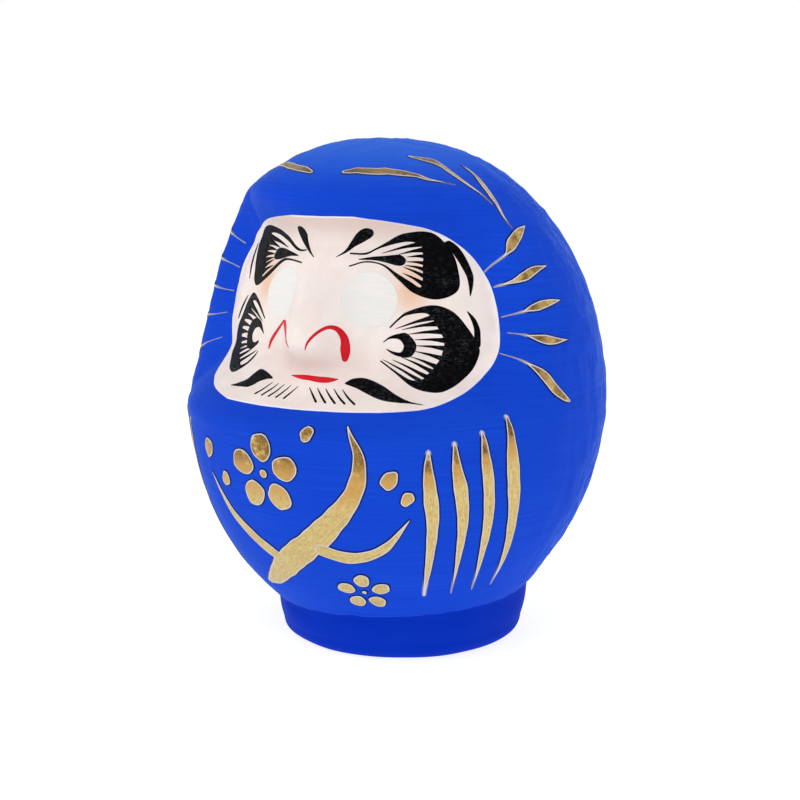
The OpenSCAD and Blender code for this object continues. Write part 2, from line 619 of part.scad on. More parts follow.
BELLY_STRIPES = [
    [[37.7, 50.4, 1], [37.7, 46.2, 2.4], [38.6, 40.2, 3.4],
        [39.5, 34.4, 3.1], [39.3, 25.9, 2.2], [38.7, 16, 0.9]],
    [[44.2, 52, 1], [45, 46.6, 2.5], [46.6, 41, 3.4],
        [47.9, 34.4, 2.9], [48.2, 25.7, 1.7], [48.7, 16, 0.3]],
    [[51.7, 53.8, 1], [52.5, 48.7, 2.4], [54.1, 42.3, 3.1],
        [55.4, 34.6, 2.8], [55.8, 25.2, 1.8], [56.7, 16.2, 0.3]],
    [[60.1, 56.2, 1], [59.7, 51.4, 2.5], [61, 44.7, 3.5],
        [63, 35.8, 3.2], [64.5, 25.4, 2], [64.5, 16.5, 0.3]]
];
// The stripes on the doll's right stand further round, in degrees
BELLY_SHIFT_RIGHT = 8.4;

module gold_head(side) {
    $side = side;
    color(GOLD) paint(0, gold_t) {
        stroke(by_side(HEAD_FRONT_LEFT, HEAD_FRONT_RIGHT));
        for (s = HEAD_STROKES) stroke(s);
    }
}

module gold_cheek(side) {
    $side = side;
    color(GOLD) paint(0, gold_t)
        for (s = by_side(CHEEK_STROKES_LEFT, CHEEK_STROKES_RIGHT)) stroke(s);
}

module gold_belly(side) {
    $side = side;
    shift = by_side(0, BELLY_SHIFT_RIGHT);
    color(GOLD) paint(0, gold_t)
        for (s = BELLY_STRIPES) stroke([for (p = s) [p[0] + shift, p[1], p[2]]]);
}

// Plum sprig: a bold branch, two twigs, two five-petalled flowers and buds
SPRIG_BRANCHES = [
    [[-26, 16.6, 1.4], [-17, 19, 4.6], [-4, 25, 6.6], [8, 31.4, 6.2],
        [18, 40, 4.6], [20.5, 48, 3], [17.5, 55, 0.8]],
    [[-8, 24, 3.6], [-17.5, 28.5, 3.4], [-25, 33.5, 2.4], [-31, 41, 0.6]],
    [[5, 28.5, 3.6], [16, 26.4, 3.5], [26, 28.7, 2.6], [33.5, 35.6, 0.6]]
];
// [azimuth, height, radius of the ring of petals]
SPRIG_FLOWERS = [[-7, 43.4, 5.8], [18, 17.7, 3.8]];
SPRIG_BUDS = [[-30, 46, 2.5], [-23, 40.4, 2], [28, 44, 2.4], [32.6, 40, 1.9], [7, 52.8, 2]];

module flower(azimuth, z, ring_r) {
    ku = across_scale([azimuth, z]);
    kv = up_scale([azimuth, z]);
    for (k = [0:4]) {
        turn = 90 + 72 * k;
        place = [azimuth + ring_r * cos(turn) / ku, z + ring_r * sin(turn) / kv];
        dab(place, ring_r * 0.56, ring_r * 0.5, turn);
    }
    dab([azimuth, z], ring_r * 0.2, ring_r * 0.2, 0, 8);
}

module belly_ornament() {
    color(GOLD) paint(0, gold_t) {
        for (s = SPRIG_BRANCHES) stroke(s);
        for (f = SPRIG_FLOWERS) flower(f[0], f[1], f[2]);
        for (b = SPRIG_BUDS) dab([b[0], b[1]], b[2], b[2] * 0.8, 60, 8);
    }
}

// ---------------------------------------------------------------- assembly

paper_shell();
clay_base();
base_glue();
bottom_card();
face_panel();
eye(1);  // eye_left
eye(-1);  // eye_right
brow(1);  // brow_left
brow(-1);  // brow_right
temple_drop(1);  // temple_drop_left
temple_drop(-1);  // temple_drop_right
beard(1);  // beard_left
beard(-1);  // beard_right
moustache(1);  // moustache_left
moustache(-1);  // moustache_right
chin_hairs(1);  // chin_hairs_left
chin_hairs(-1);  // chin_hairs_right
nostril_left();
nostril_right();
lips();
gold_head(1);  // gold_head_left
gold_head(-1);  // gold_head_right
gold_cheek(1);  // gold_cheek_left
gold_cheek(-1);  // gold_cheek_right
gold_belly(1);  // gold_belly_left
gold_belly(-1);  // gold_belly_right
belly_ornament();
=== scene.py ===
import math

import bpy
import numpy as np
from mathutils import Matrix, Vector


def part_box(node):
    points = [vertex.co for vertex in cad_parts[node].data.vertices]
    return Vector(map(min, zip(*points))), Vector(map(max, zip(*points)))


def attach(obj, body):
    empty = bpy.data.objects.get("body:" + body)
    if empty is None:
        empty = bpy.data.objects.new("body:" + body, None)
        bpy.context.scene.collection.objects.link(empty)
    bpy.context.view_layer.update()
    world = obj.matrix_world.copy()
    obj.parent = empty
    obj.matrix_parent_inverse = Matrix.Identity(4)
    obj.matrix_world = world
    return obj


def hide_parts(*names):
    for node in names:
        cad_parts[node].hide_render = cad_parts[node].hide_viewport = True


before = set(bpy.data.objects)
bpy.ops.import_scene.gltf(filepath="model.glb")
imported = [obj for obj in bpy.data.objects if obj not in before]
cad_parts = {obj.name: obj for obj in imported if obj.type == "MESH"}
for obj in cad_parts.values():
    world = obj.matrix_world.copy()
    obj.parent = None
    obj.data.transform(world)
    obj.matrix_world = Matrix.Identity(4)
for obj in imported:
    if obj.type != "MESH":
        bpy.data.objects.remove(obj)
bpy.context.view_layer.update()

# Papier-mache daruma doll.  The skin of the doll is one function of azimuth and height, in
# millimetres; every painted mark is laid on that skin, so it follows each dent of the paper.
# A place on the skin is (azimuth, height): degrees from the middle of the face, positive
# towards the doll's own left (+X), and millimetres above the table.

MM = 0.001

shell_low, shell_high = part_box("paper_shell")
foot_low, foot_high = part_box("clay_base")
card_low, card_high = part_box("bottom_card")

# Shape of the skin, as in the CAD model
JOINT_RISE, JOINT_AZIMUTH, JOINT_FADE = 1.35, 120.0, 40.0
HEIGHT = shell_high[2] / MM
BODY_R = (shell_high[0] - shell_low[0]) / 2 / MM
FOOT_H = shell_low[2] / MM + JOINT_RISE
FOOT_TOP_R = (foot_high[0] - foot_low[0]) / 2 / MM
CARD_R = (card_high[0] - card_low[0]) / 2 / MM
CARD_T = card_high[2] / MM
WALL = 2.2
WAIST_Z = 55.3
CROWN_POWER = 2.1
CROWN_FLAT, CROWN_FLAT_Z = 1.0, 100.0
EGG_TOP = HEIGHT + CROWN_FLAT
BELLY_DROP = 56.5
BELLY_LEAN, BELLY_LEAN_Z, BELLY_LEAN_H = 0.9, 8.0, 30.0
CROWN_LEAN, CROWN_LEAN_Z, CROWN_LEAN_H = 6.9, 50.0, 60.0
SIDE_LEAN, SIDE_LEAN_H = 0.76, 8.0
FACE_DEPTH, HOLLOW_EDGE, HOLLOW_BLEND = 8.6, 95.0, 65.0
RIM_DEPTH, RIM_EDGE, RIM_BLEND = 6.0, 76.0, 9.0
CHIN_Z, CHIN_BLEND = 59.0, 15.0
BRIM_Z, BRIM_BLEND = 94.2, 14.0
SIDE_START, SIDE_BLEND = 60.0, 12.0
CHIN_SIDE_RISE, CHIN_SIDE_BLEND, BRIM_SIDE_DROP = 6.5, 7.0, 2.7
NOSE_HEIGHT, NOSE_Z, NOSE_HALF_AZIMUTH, NOSE_HALF_HEIGHT = 8.0, 70.4, 8.0, 9.0

# Paint layers: how far each stands off the skin at its thickest
GROUND_T = 0.14
EYE_T = 0.07
INK_T = 0.10
GOLD_T = 0.13


# ---- skin of the doll

def ease(t):
    t = np.clip(t, 0.0, 1.0)
    return t * t * (3.0 - 2.0 * t)


def fade(x, start, run):
    """0 before start, then smoothly up to 1 over the run."""
    return ease((x - start) / run)


def egg_r(z):
    """Radius of the plain egg about its own leaning axis."""
    up = np.clip((z - WAIST_Z) / (EGG_TOP - WAIST_Z), 0.0, 1.0)
    down = np.clip((WAIST_Z - z) / BELLY_DROP, 0.0, 1.0)
    upper = np.power(1.0 - np.power(up, CROWN_POWER), 1.0 / CROWN_POWER)
    lower = np.sqrt(1.0 - down * down)
    return BODY_R * np.where(z > WAIST_Z, upper, lower)


def lean(z):
    rise = np.clip((z - CROWN_LEAN_Z) / CROWN_LEAN_H, 0.0, 1.0)
    return fade(z, BELLY_LEAN_Z, BELLY_LEAN_H) * (BELLY_LEAN + (CROWN_LEAN - BELLY_LEAN) * rise)


def sideways(z):
    return -SIDE_LEAN * fade(z, FOOT_H, SIDE_LEAN_H)


def level(azimuth, z):
    """Real height of a place: the joint is tilted and the crown is pressed down."""
    tilt = JOINT_RISE * np.cos(np.radians(azimuth - JOINT_AZIMUTH)) * (1.0 - fade(z, FOOT_H, JOINT_FADE))
    press = np.clip((z - CROWN_FLAT_Z) / (EGG_TOP - CROWN_FLAT_Z), 0.0, 1.0)
    return z + tilt - CROWN_FLAT * press * press


def face_band(a, z):
    side = fade(a, SIDE_START, SIDE_BLEND)
    chin = (z - CHIN_Z - CHIN_SIDE_RISE * side) / (CHIN_BLEND + CHIN_SIDE_BLEND * side)
    brim = (BRIM_Z - BRIM_SIDE_DROP * side - z) / BRIM_BLEND
    return ease(chin + 0.5) * ease(brim + 0.5)


def off_centre(azimuth):
    """Degrees from the middle of the face, either way."""
    return np.abs((azimuth + 180.0) % 360.0 - 180.0)


def skin_r(azimuth, z):
    a = off_centre(azimuth)
    hollow = FACE_DEPTH * ease((HOLLOW_EDGE - a) / HOLLOW_BLEND)
    hollow = hollow + RIM_DEPTH * ease((RIM_EDGE - a) / RIM_BLEND)
    du = a / NOSE_HALF_AZIMUTH
    dz = (z - NOSE_Z) / NOSE_HALF_HEIGHT
    dz = np.where(dz > 0.0, dz, 2.0 * dz)
    nose = NOSE_HEIGHT * np.exp(-0.5 * du * du - 0.5 * dz * dz)
    return egg_r(z) - face_band(a, z) * (hollow - nose)


def smooth_point(azimuth, z):
    r = skin_r(azimuth, z)
    t = np.radians(azimuth)
    return np.stack([r * np.sin(t) + sideways(z), -r * np.cos(t) - lean(z), level(azimuth, z)], axis=-1)


def skin_normal(azimuth, z):
    da = 0.3
    dz = np.clip((EGG_TOP - z) / 2.0, 1e-4, 0.15)
    along = smooth_point(azimuth + da, z) - smooth_point(azimuth - da, z)
    up = smooth_point(azimuth, z + dz) - smooth_point(azimuth, z - dz)
    n = np.cross(along, up)
    length = np.linalg.norm(n, axis=-1, keepdims=True)
    return np.where(length > 1e-9, n / np.maximum(length, 1e-9), np.array([0.0, 0.0, 1.0]))


def wave_field(seed, count, shortest, longest):
    """Directions, phases and wave numbers of a smooth random field in space."""
    rng = np.random.default_rng(seed)
    direction = rng.normal(size=(count, 3))
    direction /= np.linalg.norm(direction, axis=1, keepdims=True)
    number = 2.0 * math.pi / rng.uniform(shortest, longest, size=(count, 1))
    return direction * number, rng.uniform(0.0, 2.0 * math.pi, size=count)


def field_value(field, p):
    waves, phase = field
    return np.cos(p @ waves.T + phase).sum(axis=-1) * math.sqrt(2.0 / len(phase))


BROAD_DENTS = wave_field(11, 26, 15.0, 26.0)
SMALL_DENTS = wave_field(23, 30, 7.0, 11.0)
PAPER_LUMPS = wave_field(31, 34, 2.2, 4.5)
CREASES = wave_field(37, 24, 4.0, 7.0)
CREASE_STRETCH = np.array([1.0, 1.0, 0.22])
BROAD_DEPTH, SMALL_DEPTH, CREASE_DEPTH, LUMP_DEPTH = 0.20, 0.10, 0.10, 0.014
ROUGH_SIDES = (55.0, 35.0)
ROUGH_CROWN = (96.0, 6.0)
FRONT_SHARE = 0.22
JOINT_SHARE, JOINT_CALM_H = 0.12, 7.0
# Keeps the lumps of the front inside the box of the CAD model
FRONT_INSET = 0.10


def dents(azimuth, z, p):
    """Inward dents of the hand-laid paper, deepest on the hood and the back."""
    away = fade(off_centre(azimuth), *ROUGH_SIDES)
    crown = fade(z, *ROUGH_CROWN)
    rough = np.maximum(np.maximum(away, crown), FRONT_SHARE)
    broad = BROAD_DEPTH * np.abs(field_value(BROAD_DENTS, p))
    small = SMALL_DEPTH * np.abs(field_value(SMALL_DENTS, p))
    creases = CREASE_DEPTH * np.abs(field_value(CREASES, p * CREASE_STRETCH))
    lumps = LUMP_DEPTH * (1.0 + field_value(PAPER_LUMPS, p))
    joint = JOINT_SHARE + (1.0 - JOINT_SHARE) * fade(z, FOOT_H, JOINT_CALM_H)
    inset = FRONT_INSET * (1.0 - away)
    return -(joint * (rough * (broad + small + away * creases) + inset) + lumps)


def skin(azimuth, z, lift=0.0):
    """Points of the dented skin, lifted along its normal, in millimetres."""
    azimuth, z = np.broadcast_arrays(np.asarray(azimuth, float), np.asarray(z, float))
    p = smooth_point(azimuth, z)
    n = skin_normal(azimuth, z)
    off = dents(azimuth, z, p) + lift
    return p + n * off[..., None]


def across_scale(azimuth, z):
    return skin_r(azimuth, z) * math.pi / 180.0


def up_scale(azimuth, z):
    dz = np.clip((EGG_TOP - z) / 2.0, 1e-3, 0.3)
    step = smooth_point(azimuth, z + dz) - smooth_point(azimuth, z - dz)
    return np.linalg.norm(step, axis=-1) / (2.0 * dz)


def scales_at(azimuth, z):
    """Millimetres per degree across and per millimetre up at one place."""
    azimuth, z = np.float64(azimuth), np.float64(z)
    return float(across_scale(azimuth, z)), float(up_scale(azimuth, z))


# ---- mesh helpers

def vector_attribute(mesh, name, vectors):
    layer = mesh.attributes.new(name, "FLOAT_VECTOR", "POINT")
    layer.data.foreach_set("vector", np.asarray(vectors, dtype=np.float32).ravel())


def new_object(name, points, faces, attributes=None, sharp_deg=50.0):
    """A smooth-shaded object from points in millimetres, with a vector at each for each attribute."""
    mesh = bpy.data.meshes.new(name)
    mesh.from_pydata((np.asarray(points) * MM).tolist(), [], faces)
    mesh.validate()
    for key, vectors in (attributes or {}).items():
        vector_attribute(mesh, key, vectors)
    mesh.polygons.foreach_set("use_smooth", [True] * len(mesh.polygons))
    mesh.set_sharp_from_angle(angle=math.radians(sharp_deg))
    mesh.update()
    obj = bpy.data.objects.new(name, mesh)
    bpy.context.scene.collection.objects.link(obj)
    return obj


def finish_piece(obj, material, node):
    obj.data.materials.append(material)
    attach(obj, "root")
    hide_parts(node)


def around(r, t, z):
    """Points at radius r and angle t, where the angle 0 is straight in front."""
    return np.stack([r * np.sin(t), -r * np.cos(t), z + 0.0 * r], axis=-1)


def band(a, b, columns):
    """Faces between two closed rings of points that start at a and b."""
    return [(a + j, a + (j + 1) % columns, b + (j + 1) % columns, b + j) for j in range(columns)]


def cap(a, tip, columns, flip=False):
    """Triangles between a closed ring of points and a tip."""
    fan = [(a + j, a + (j + 1) % columns, tip) for j in range(columns)]
    return [face[::-1] for face in fan] if flip else fan


def grid_faces(rows, columns, first=0, closed=False, flip=False):
    faces = []
    last = columns if closed else columns - 1
    for i in range(rows - 1):
        for j in range(last):
            k = (j + 1) % columns
            a = first + i * columns
            face = (a + j, a + k, a + columns + k, a + columns + j)
            faces.append(face[::-1] if flip else face)
    return faces


# ---- strokes and patches

def curve(rows, steps):
    """Catmull-Rom curve through rows of numbers."""
    p = np.asarray(rows, float)
    out = []
    for i in range(len(p) - 1):
        a, b, c, d = p[max(0, i - 1)], p[i], p[i + 1], p[min(len(p) - 1, i + 2)]
        for k in range(steps):
            t = k / steps
            out.append(0.5 * (2 * b + (c - a) * t + (2 * a - 5 * b + 4 * c - d) * t * t
                              + (3 * b - a - 3 * c + d) * t ** 3))
    out.append(p[-1])
    return np.array(out)


def run_length(p, axis=0):
    """Distance covered from the first point along one axis of a grid of points."""
    steps = np.linalg.norm(np.diff(p, axis=axis), axis=-1)
    start = np.zeros_like(np.take(steps, [0], axis=axis))
    return np.concatenate([start, np.cumsum(steps, axis=axis)], axis=axis)


def resampled(path, spacing):
    """The same path with its points evenly spaced along the skin."""
    length = run_length(smooth_point(path[:, 0], path[:, 1]))
    count = max(6, int(math.ceil(length[-1] / spacing)) + 1)
    s = np.linspace(0.0, length[-1], count)
    return np.stack([np.interp(s, length, path[:, k]) for k in range(path.shape[1])], axis=1), s


# Upper end of the random phases of wavering edges, and the wave numbers of a stroke's width
PHASE_END = 6.28
SHAKE_WAVES = (0.35, 0.8, 1.4)
NARROWEST, SMALLEST_CAP = 0.05, 0.12


def stroke_grid(rows, spacing=0.3, lanes=8, waver=0.05, seed=0):
    """Azimuth, height, along and across of a brush stroke whose rows are (azimuth, height, width)."""
    path, s = resampled(curve(rows, 8), spacing)
    azimuth, z, width = path[:, 0], path[:, 1], np.maximum(path[:, 2], NARROWEST)
    rng = np.random.default_rng(seed)
    shake = sum(np.sin(s * f + rng.uniform(0, PHASE_END)) for f in SHAKE_WAVES) / 2.2
    half = width * (1.0 + waver * shake) / 2.0
    for end, distance in ((0, s), (-1, s[-1] - s)):
        if half[end] > SMALLEST_CAP:
            inside = np.clip(distance / half[end], 0.0, 1.0)
            half = half * np.sqrt(np.maximum(1.0 - (1.0 - inside) ** 2, 0.02))
    ku, kv = across_scale(azimuth, z), up_scale(azimuth, z)
    du, dv = np.gradient(azimuth) * ku, np.gradient(z) * kv
    size = np.maximum(np.hypot(du, dv), 1e-9)
    nu, nv = -dv / size / ku, du / size / kv
    t = np.sin(np.linspace(-math.pi / 2, math.pi / 2, lanes + 1))
    off = half[:, None] * t[None, :]
    return (azimuth[:, None] + nu[:, None] * off, z[:, None] + nv[:, None] * off,
            np.repeat(s[:, None], lanes + 1, 1), off)


def patch_grid(rows, steps=6, lanes=14, smooth=True):
    """The same for a patch whose rows are (azimuth, height) of one edge and of the other."""
    path = curve(rows, steps) if smooth else np.asarray(rows, float)
    t = (1.0 - np.cos(np.linspace(0.0, math.pi, lanes + 1))) / 2.0
    azimuth = path[:, :1] + (path[:, 2:3] - path[:, :1]) * t
    z = path[:, 1:2] + (path[:, 3:4] - path[:, 1:2]) * t
    p = smooth_point(azimuth, z)
    along = run_length(p).mean(axis=1)
    return azimuth, z, np.repeat(along[:, None], lanes + 1, 1), run_length(p, axis=1)


def dab_grid(azimuth, z, long_r, short_r, turn_deg=0.0, steps=22, lanes=12, wobble=0.0, seed=0):
    """An oval dab, as a patch swept along its long axis."""
    ku, kv = scales_at(azimuth, z)
    turn = math.radians(turn_deg)
    rng = np.random.default_rng(seed)
    phase = rng.uniform(0, PHASE_END, 2)
    rows = []
    for i in range(steps + 1):
        t = -math.pi / 2 + math.pi * i / steps
        ends = []
        for side in (1.0, -1.0):
            angle = math.atan2(side * math.cos(t), math.sin(t))
            size = 1.0 + wobble * (math.sin(3 * angle + phase[0]) + 0.6 * math.sin(5 * angle + phase[1]))
            u = long_r * math.sin(t) * size
            v = side * max(short_r * math.cos(t), 0.03) * size
            ends += [azimuth + (u * math.cos(turn) - v * math.sin(turn)) / ku,
                     z + (u * math.sin(turn) + v * math.cos(turn)) / kv]
        rows.append(ends)
    return patch_grid(rows, lanes=lanes, smooth=False)


def nearest_edge(p):
    """Distance of every grid point to the grid's boundary."""
    rim = np.concatenate([p[0], p[-1], p[1:-1, 0], p[1:-1, -1]])
    flat = p.reshape(-1, 3)
    out = np.empty(len(flat))
    for i in range(0, len(flat), 2000):
        block = flat[i:i + 2000]
        out[i:i + 2000] = np.sqrt(((block[:, None, :] - rim[None, :, :]) ** 2).sum(-1)).min(axis=1)
    return out.reshape(p.shape[:2])


# Films: step between overlapping strokes, clearance above and sinking below the layer under them
FILM_STEP, FILM_CLEAR, FILM_SINK = 0.004, 0.012, 0.06


def boundary_loop(rows, columns):
    """Indices round the edge of a grid."""
    last = (rows - 1) * columns
    there = [j for j in range(columns)] + [i * columns + columns - 1 for i in range(1, rows)]
    back = [last + j for j in range(columns - 2, -1, -1)] + [i * columns for i in range(rows - 2, 0, -1)]
    return there + back


def film(grids, base, thickness, shoulder, name, mirrored=False, tone=None):
    """One object of closed films laid over the skin.

    The top of each film rises from its edge to its full thickness over the shoulder width.
    The brush attribute holds the distance along, across and from the edge, in millimetres; the
    tone attribute, where one is given, how dark (a painted reflection), warm and pale the paint is.
    """
    points, faces, brush, tones = [], [], [], []
    first = 0
    for index, (azimuth, z, along, across) in enumerate(grids):
        if mirrored:
            azimuth = -azimuth
        flat = smooth_point(azimuth, z)
        edge = nearest_edge(flat)
        rise = np.sqrt(1.0 - (1.0 - np.clip(edge / shoulder, 0.0, 1.0)) ** 2)
        order = FILM_STEP * (index % 5)
        top = skin(azimuth, z, base + order + thickness * rise + FILM_CLEAR)
        low = skin(azimuth, z, base - FILM_SINK)
        rows, columns = azimuth.shape
        count = rows * columns
        points += [top.reshape(-1, 3), low.reshape(-1, 3)]
        marks = np.stack([along + 40.0 * index, across, edge], axis=-1).reshape(-1, 3)
        brush += [marks, marks]
        if tone is not None:
            half = edge.max(axis=1)[:, None] + 0.0 * z
            shade = np.stack(tone(along / max(along.max(), 1e-6), z, half), axis=-1)
            tones += [shade.reshape(-1, 3)] * 2
        face_normal = np.cross(flat[1, 1] - flat[0, 1], flat[1, 2] - flat[1, 1])
        flip = face_normal @ skin_normal(azimuth[1, 1], z[1, 1]) > 0
        faces += grid_faces(rows, columns, first, flip=flip)
        faces += grid_faces(rows, columns, first + count, flip=not flip)
        loop = boundary_loop(rows, columns)
        for k, a in enumerate(loop):
            b = loop[(k + 1) % len(loop)]
            side = (first + a, first + a + count, first + b + count, first + b)
            faces.append(side[::-1] if flip else side)
        first += 2 * count
    attributes = {"brush": np.concatenate(brush)}
    if tones:
        attributes["tone"] = np.concatenate(tones)
    return new_object(name, np.concatenate(points), faces, attributes)


# ---- materials

class Nodes:
    """A short way to write a node material."""

    def __init__(self, name):
        self.material = bpy.data.materials.new(name)
        self.material.use_nodes = True
        self.tree = self.material.node_tree
        self.tree.nodes.clear()
        self.out = self.tree.nodes.new("ShaderNodeOutputMaterial")
        self.shader = self.tree.nodes.new("ShaderNodeBsdfPrincipled")
        self.tree.links.new(self.shader.outputs[0], self.out.inputs[0])

    def add(self, kind, **inputs):
        node = self.tree.nodes.new(kind)
        for key, value in inputs.items():
            self.set(node, key, value)
        return node

    def set(self, node, key, value):
        socket = node.inputs[key] if isinstance(key, int) else node.inputs[key.replace("_", " ")]
        if isinstance(value, bpy.types.NodeSocket):
            self.tree.links.new(value, socket)
        else:
            socket.default_value = value

    def place(self, scale=(1.0, 1.0, 1.0)):
        """The object's own coordinates, in millimetres times scale."""
        where = self.add("ShaderNodeTexCoord").outputs["Object"]
        return self.add("ShaderNodeMapping", Vector=where, Scale=tuple(s / MM for s in scale)).outputs[0]

    def vector(self, name):
        node = self.add("ShaderNodeAttribute")
        node.attribute_name = name
        return node.outputs["Vector"]

    def attribute(self, name, part):
        return self.add("ShaderNodeSeparateXYZ", Vector=self.vector(name)).outputs[part]

    def brush(self, scale):
        """The brush attribute: along, across and from the edge, in millimetres times scale."""
        return self.add("ShaderNodeMapping", Vector=self.vector("brush"), Scale=scale).outputs[0]

    def noise(self, vector, scale=1.0, detail=3.0, roughness=0.55):
        settings = {"Scale": scale, "Detail": detail, "Roughness": roughness}
        return self.add("ShaderNodeTexNoise", Vector=vector, **settings).outputs[0]

    def ramp(self, value, stops):
        node = self.add("ShaderNodeValToRGB", Fac=value)
        elements = node.color_ramp.elements
        while len(elements) < len(stops):
            elements.new(0.5)
        for element, (position, color) in zip(elements, stops):
            element.position = position
            element.color = (*color, 1.0)
        return node.outputs[0]

    def spread(self, value, low, high, to_low=0.0, to_high=1.0):
        """The value's way from low to high, as a way from to_low to to_high."""
        node = self.add("ShaderNodeMapRange")
        for key, number in enumerate((value, low, high, to_low, to_high)):
            self.set(node, key, number)
        return node.outputs[0]

    def mix(self, factor, a, b):
        node = self.add("ShaderNodeMix")
        node.data_type = "RGBA"
        for key, value in ((0, factor), (6, a), (7, b)):
            self.set(node, key, (*value, 1.0) if isinstance(value, tuple) else value)
        return node.outputs[2]

    def math(self, operation, a, b=0.5):
        node = self.add("ShaderNodeMath")
        node.operation = operation
        self.set(node, 0, a)
        self.set(node, 1, b)
        return node.outputs[0]

    def bump(self, height, distance_mm, strength=1.0, under=None):
        node = self.add("ShaderNodeBump", Height=height, Distance=distance_mm * MM, Strength=strength)
        if under is not None:
            self.set(node, "Normal", under)
        return node.outputs[0]

    def finish(self, color, roughness, normal=None, **constants):
        self.set(self.shader, "Base Color", color)
        self.set(self.shader, "Roughness", roughness)
        if normal is not None:
            self.set(self.shader, "Normal", normal)
        for key, value in constants.items():
            self.set(self.shader, key, value)
        return self.material


def srgb(r, g, b):
    """A colour as it is seen on a screen, 0 to 255, in linear light."""
    seen = [c / 255 for c in (r, g, b)]
    return tuple(c / 12.92 if c <= 0.04 else ((c + 0.055) / 1.055) ** 2.4 for c in seen)


def blue_paint(name, foot=False):
    """Matt poster paint, brushed round the body in fine level streaks over paper. On the body, worn streaks
    at the sides and crown are glossier and are also lightened as a painted highlight, and the top of the
    hood is lightened as a painted highlight; the foot's blues are darker, as painted shade.
    """
    m = Nodes(name)
    streaks = m.noise(m.place((0.05, 0.05, 2.6)), 1.0, 4.0, 0.6)
    patches = m.noise(m.place((0.06, 0.06, 0.07)), 1.0, 2.0)
    pulp = m.noise(m.place(), 1.4 if not foot else 2.2, 4.0, 0.6)
    # The foot's blues are darker than the body's, as painted shade; the foot has the same paint as the
    # body.
    deep = srgb(14, 64, 198) if not foot else srgb(0, 46, 180)
    plain = srgb(19, 73, 209) if not foot else srgb(2, 51, 187)
    color = m.ramp(streaks, [(0.30, deep), (0.62, plain)])
    color = m.mix(m.spread(patches, 0.35, 0.7, 0.0, 0.5), color, deep)
    rough = m.spread(pulp, 0.3, 0.7, 0.62, 0.78)
    if not foot:
        ridges = m.noise(m.place((0.42, 0.42, 0.05)), 1.0, 2.0, 0.5)
        threads = m.noise(m.place((1.3, 1.3, 0.09)), 1.0, 1.0)
        broad_streaks = m.spread(ridges, 0.50, 0.66, 0.0, 0.5)
        fine_streaks = m.spread(threads, 0.55, 0.68, 0.0, 0.6)
        worn_and_highlight = m.math("MULTIPLY", m.math("ADD", broad_streaks, fine_streaks), m.attribute("wear_and_highlight", 0))
        # Painted highlight: lighter blue on the worn streaks and on the top of the hood; the worn streaks
        # are also glossier through their roughness.
        color = m.mix(m.math("MULTIPLY", worn_and_highlight, 0.10), color, srgb(70, 130, 236))
        color = m.mix(m.attribute("wear_and_highlight", 1), color, srgb(58, 114, 228))
        rough = m.math("SUBTRACT", rough, m.math("MULTIPLY", worn_and_highlight, 0.34))
    fine = m.bump(streaks, 0.02, 0.15)
    normal = m.bump(pulp, 0.10 if not foot else 0.04, 0.5, fine)
    sheen = 0.16 if not foot else 0.0
    return m.finish(color, rough, normal, Specular_IOR_Level=0.04, Sheen_Weight=sheen,
                    Sheen_Roughness=0.28, Sheen_Tint=(0.16, 0.55, 1.0, 1.0))


def face_paint():
    """Chalky flesh ground with a peach tint beside the eyes, painted shade of tan under the brim and under
    the nose, and a paler brushed edge.
    """
    m = Nodes("face_paint")
    mottle = m.noise(m.place((0.22, 0.22, 0.22)), 1.0, 3.0)
    streaks = m.noise(m.place((0.12, 0.12, 2.2)), 1.0, 3.0)
    flesh = m.ramp(mottle, [(0.32, srgb(237, 223, 217)), (0.68, srgb(244, 233, 229))])
    peach = m.attribute("tint_and_shade", 0)
    painted_shade = m.attribute("tint_and_shade", 1)
    color = m.mix(peach, flesh, srgb(234, 195, 168))
    # Painted shade: tan under the brim and under the nose.
    color = m.mix(painted_shade, color, srgb(216, 190, 180))
    edge = m.attribute("brush", 2)
    pale = m.spread(edge, 0.34, 0.22)
    color = m.mix(pale, color, srgb(242, 240, 250))
    normal = m.bump(streaks, 0.03, 0.4, m.bump(mottle, 0.1, 0.3))
    return m.finish(color, m.spread(streaks, 0.3, 0.7, 0.42, 0.55), normal, Specular_IOR_Level=0.2)


def eye_paint():
    m = Nodes("eye_paint")
    strokes = m.noise(m.place((0.15, 0.15, 1.8)), 1.0, 3.0)
    white = m.ramp(strokes, [(0.3, srgb(232, 230, 226)), (0.7, srgb(237, 234, 231))])
    edge = m.attribute("brush", 2)
    color = m.mix(m.spread(edge, 0.3, 0.0, 0.0, 0.5), white, srgb(222, 222, 216))
    normal = m.bump(strokes, 0.03, 0.3)
    return m.finish(color, m.spread(strokes, 0.3, 0.7, 0.38, 0.5), normal, Specular_IOR_Level=0.2)


def ink_paint():
    """Black ink, slightly glossy, with the grain of the paper in its shine, and patches of painted sheen in
    lighter grey.
    """
    m = Nodes("ink_paint")
    grain = m.noise(m.place(), 1.1, 4.0, 0.65)
    fine = m.noise(m.place(), 3.2, 2.0)
    color = m.ramp(grain, [(0.35, srgb(2, 2, 3)), (0.62, srgb(5, 5, 7)), (0.8, srgb(14, 15, 18))])
    # Painted sheen: patches of the creased grain are lightened towards grey.
    broad = m.noise(m.place((0.13, 0.13, 0.13)), 1.0, 2.0)
    creased = m.noise(m.place((0.9, 0.9, 1.6)), 1.2, 4.0, 0.7)
    sheen = m.math("MULTIPLY", m.spread(broad, 0.42, 0.58, 0.15, 1.0), m.spread(creased, 0.50, 0.66))
    color = m.mix(sheen, color, srgb(50, 54, 60))
    normal = m.bump(fine, 0.08, 0.6, m.bump(grain, 0.3, 0.8))
    return m.finish(color, m.spread(grain, 0.35, 0.7, 0.2, 0.34), normal, Specular_IOR_Level=0.03)


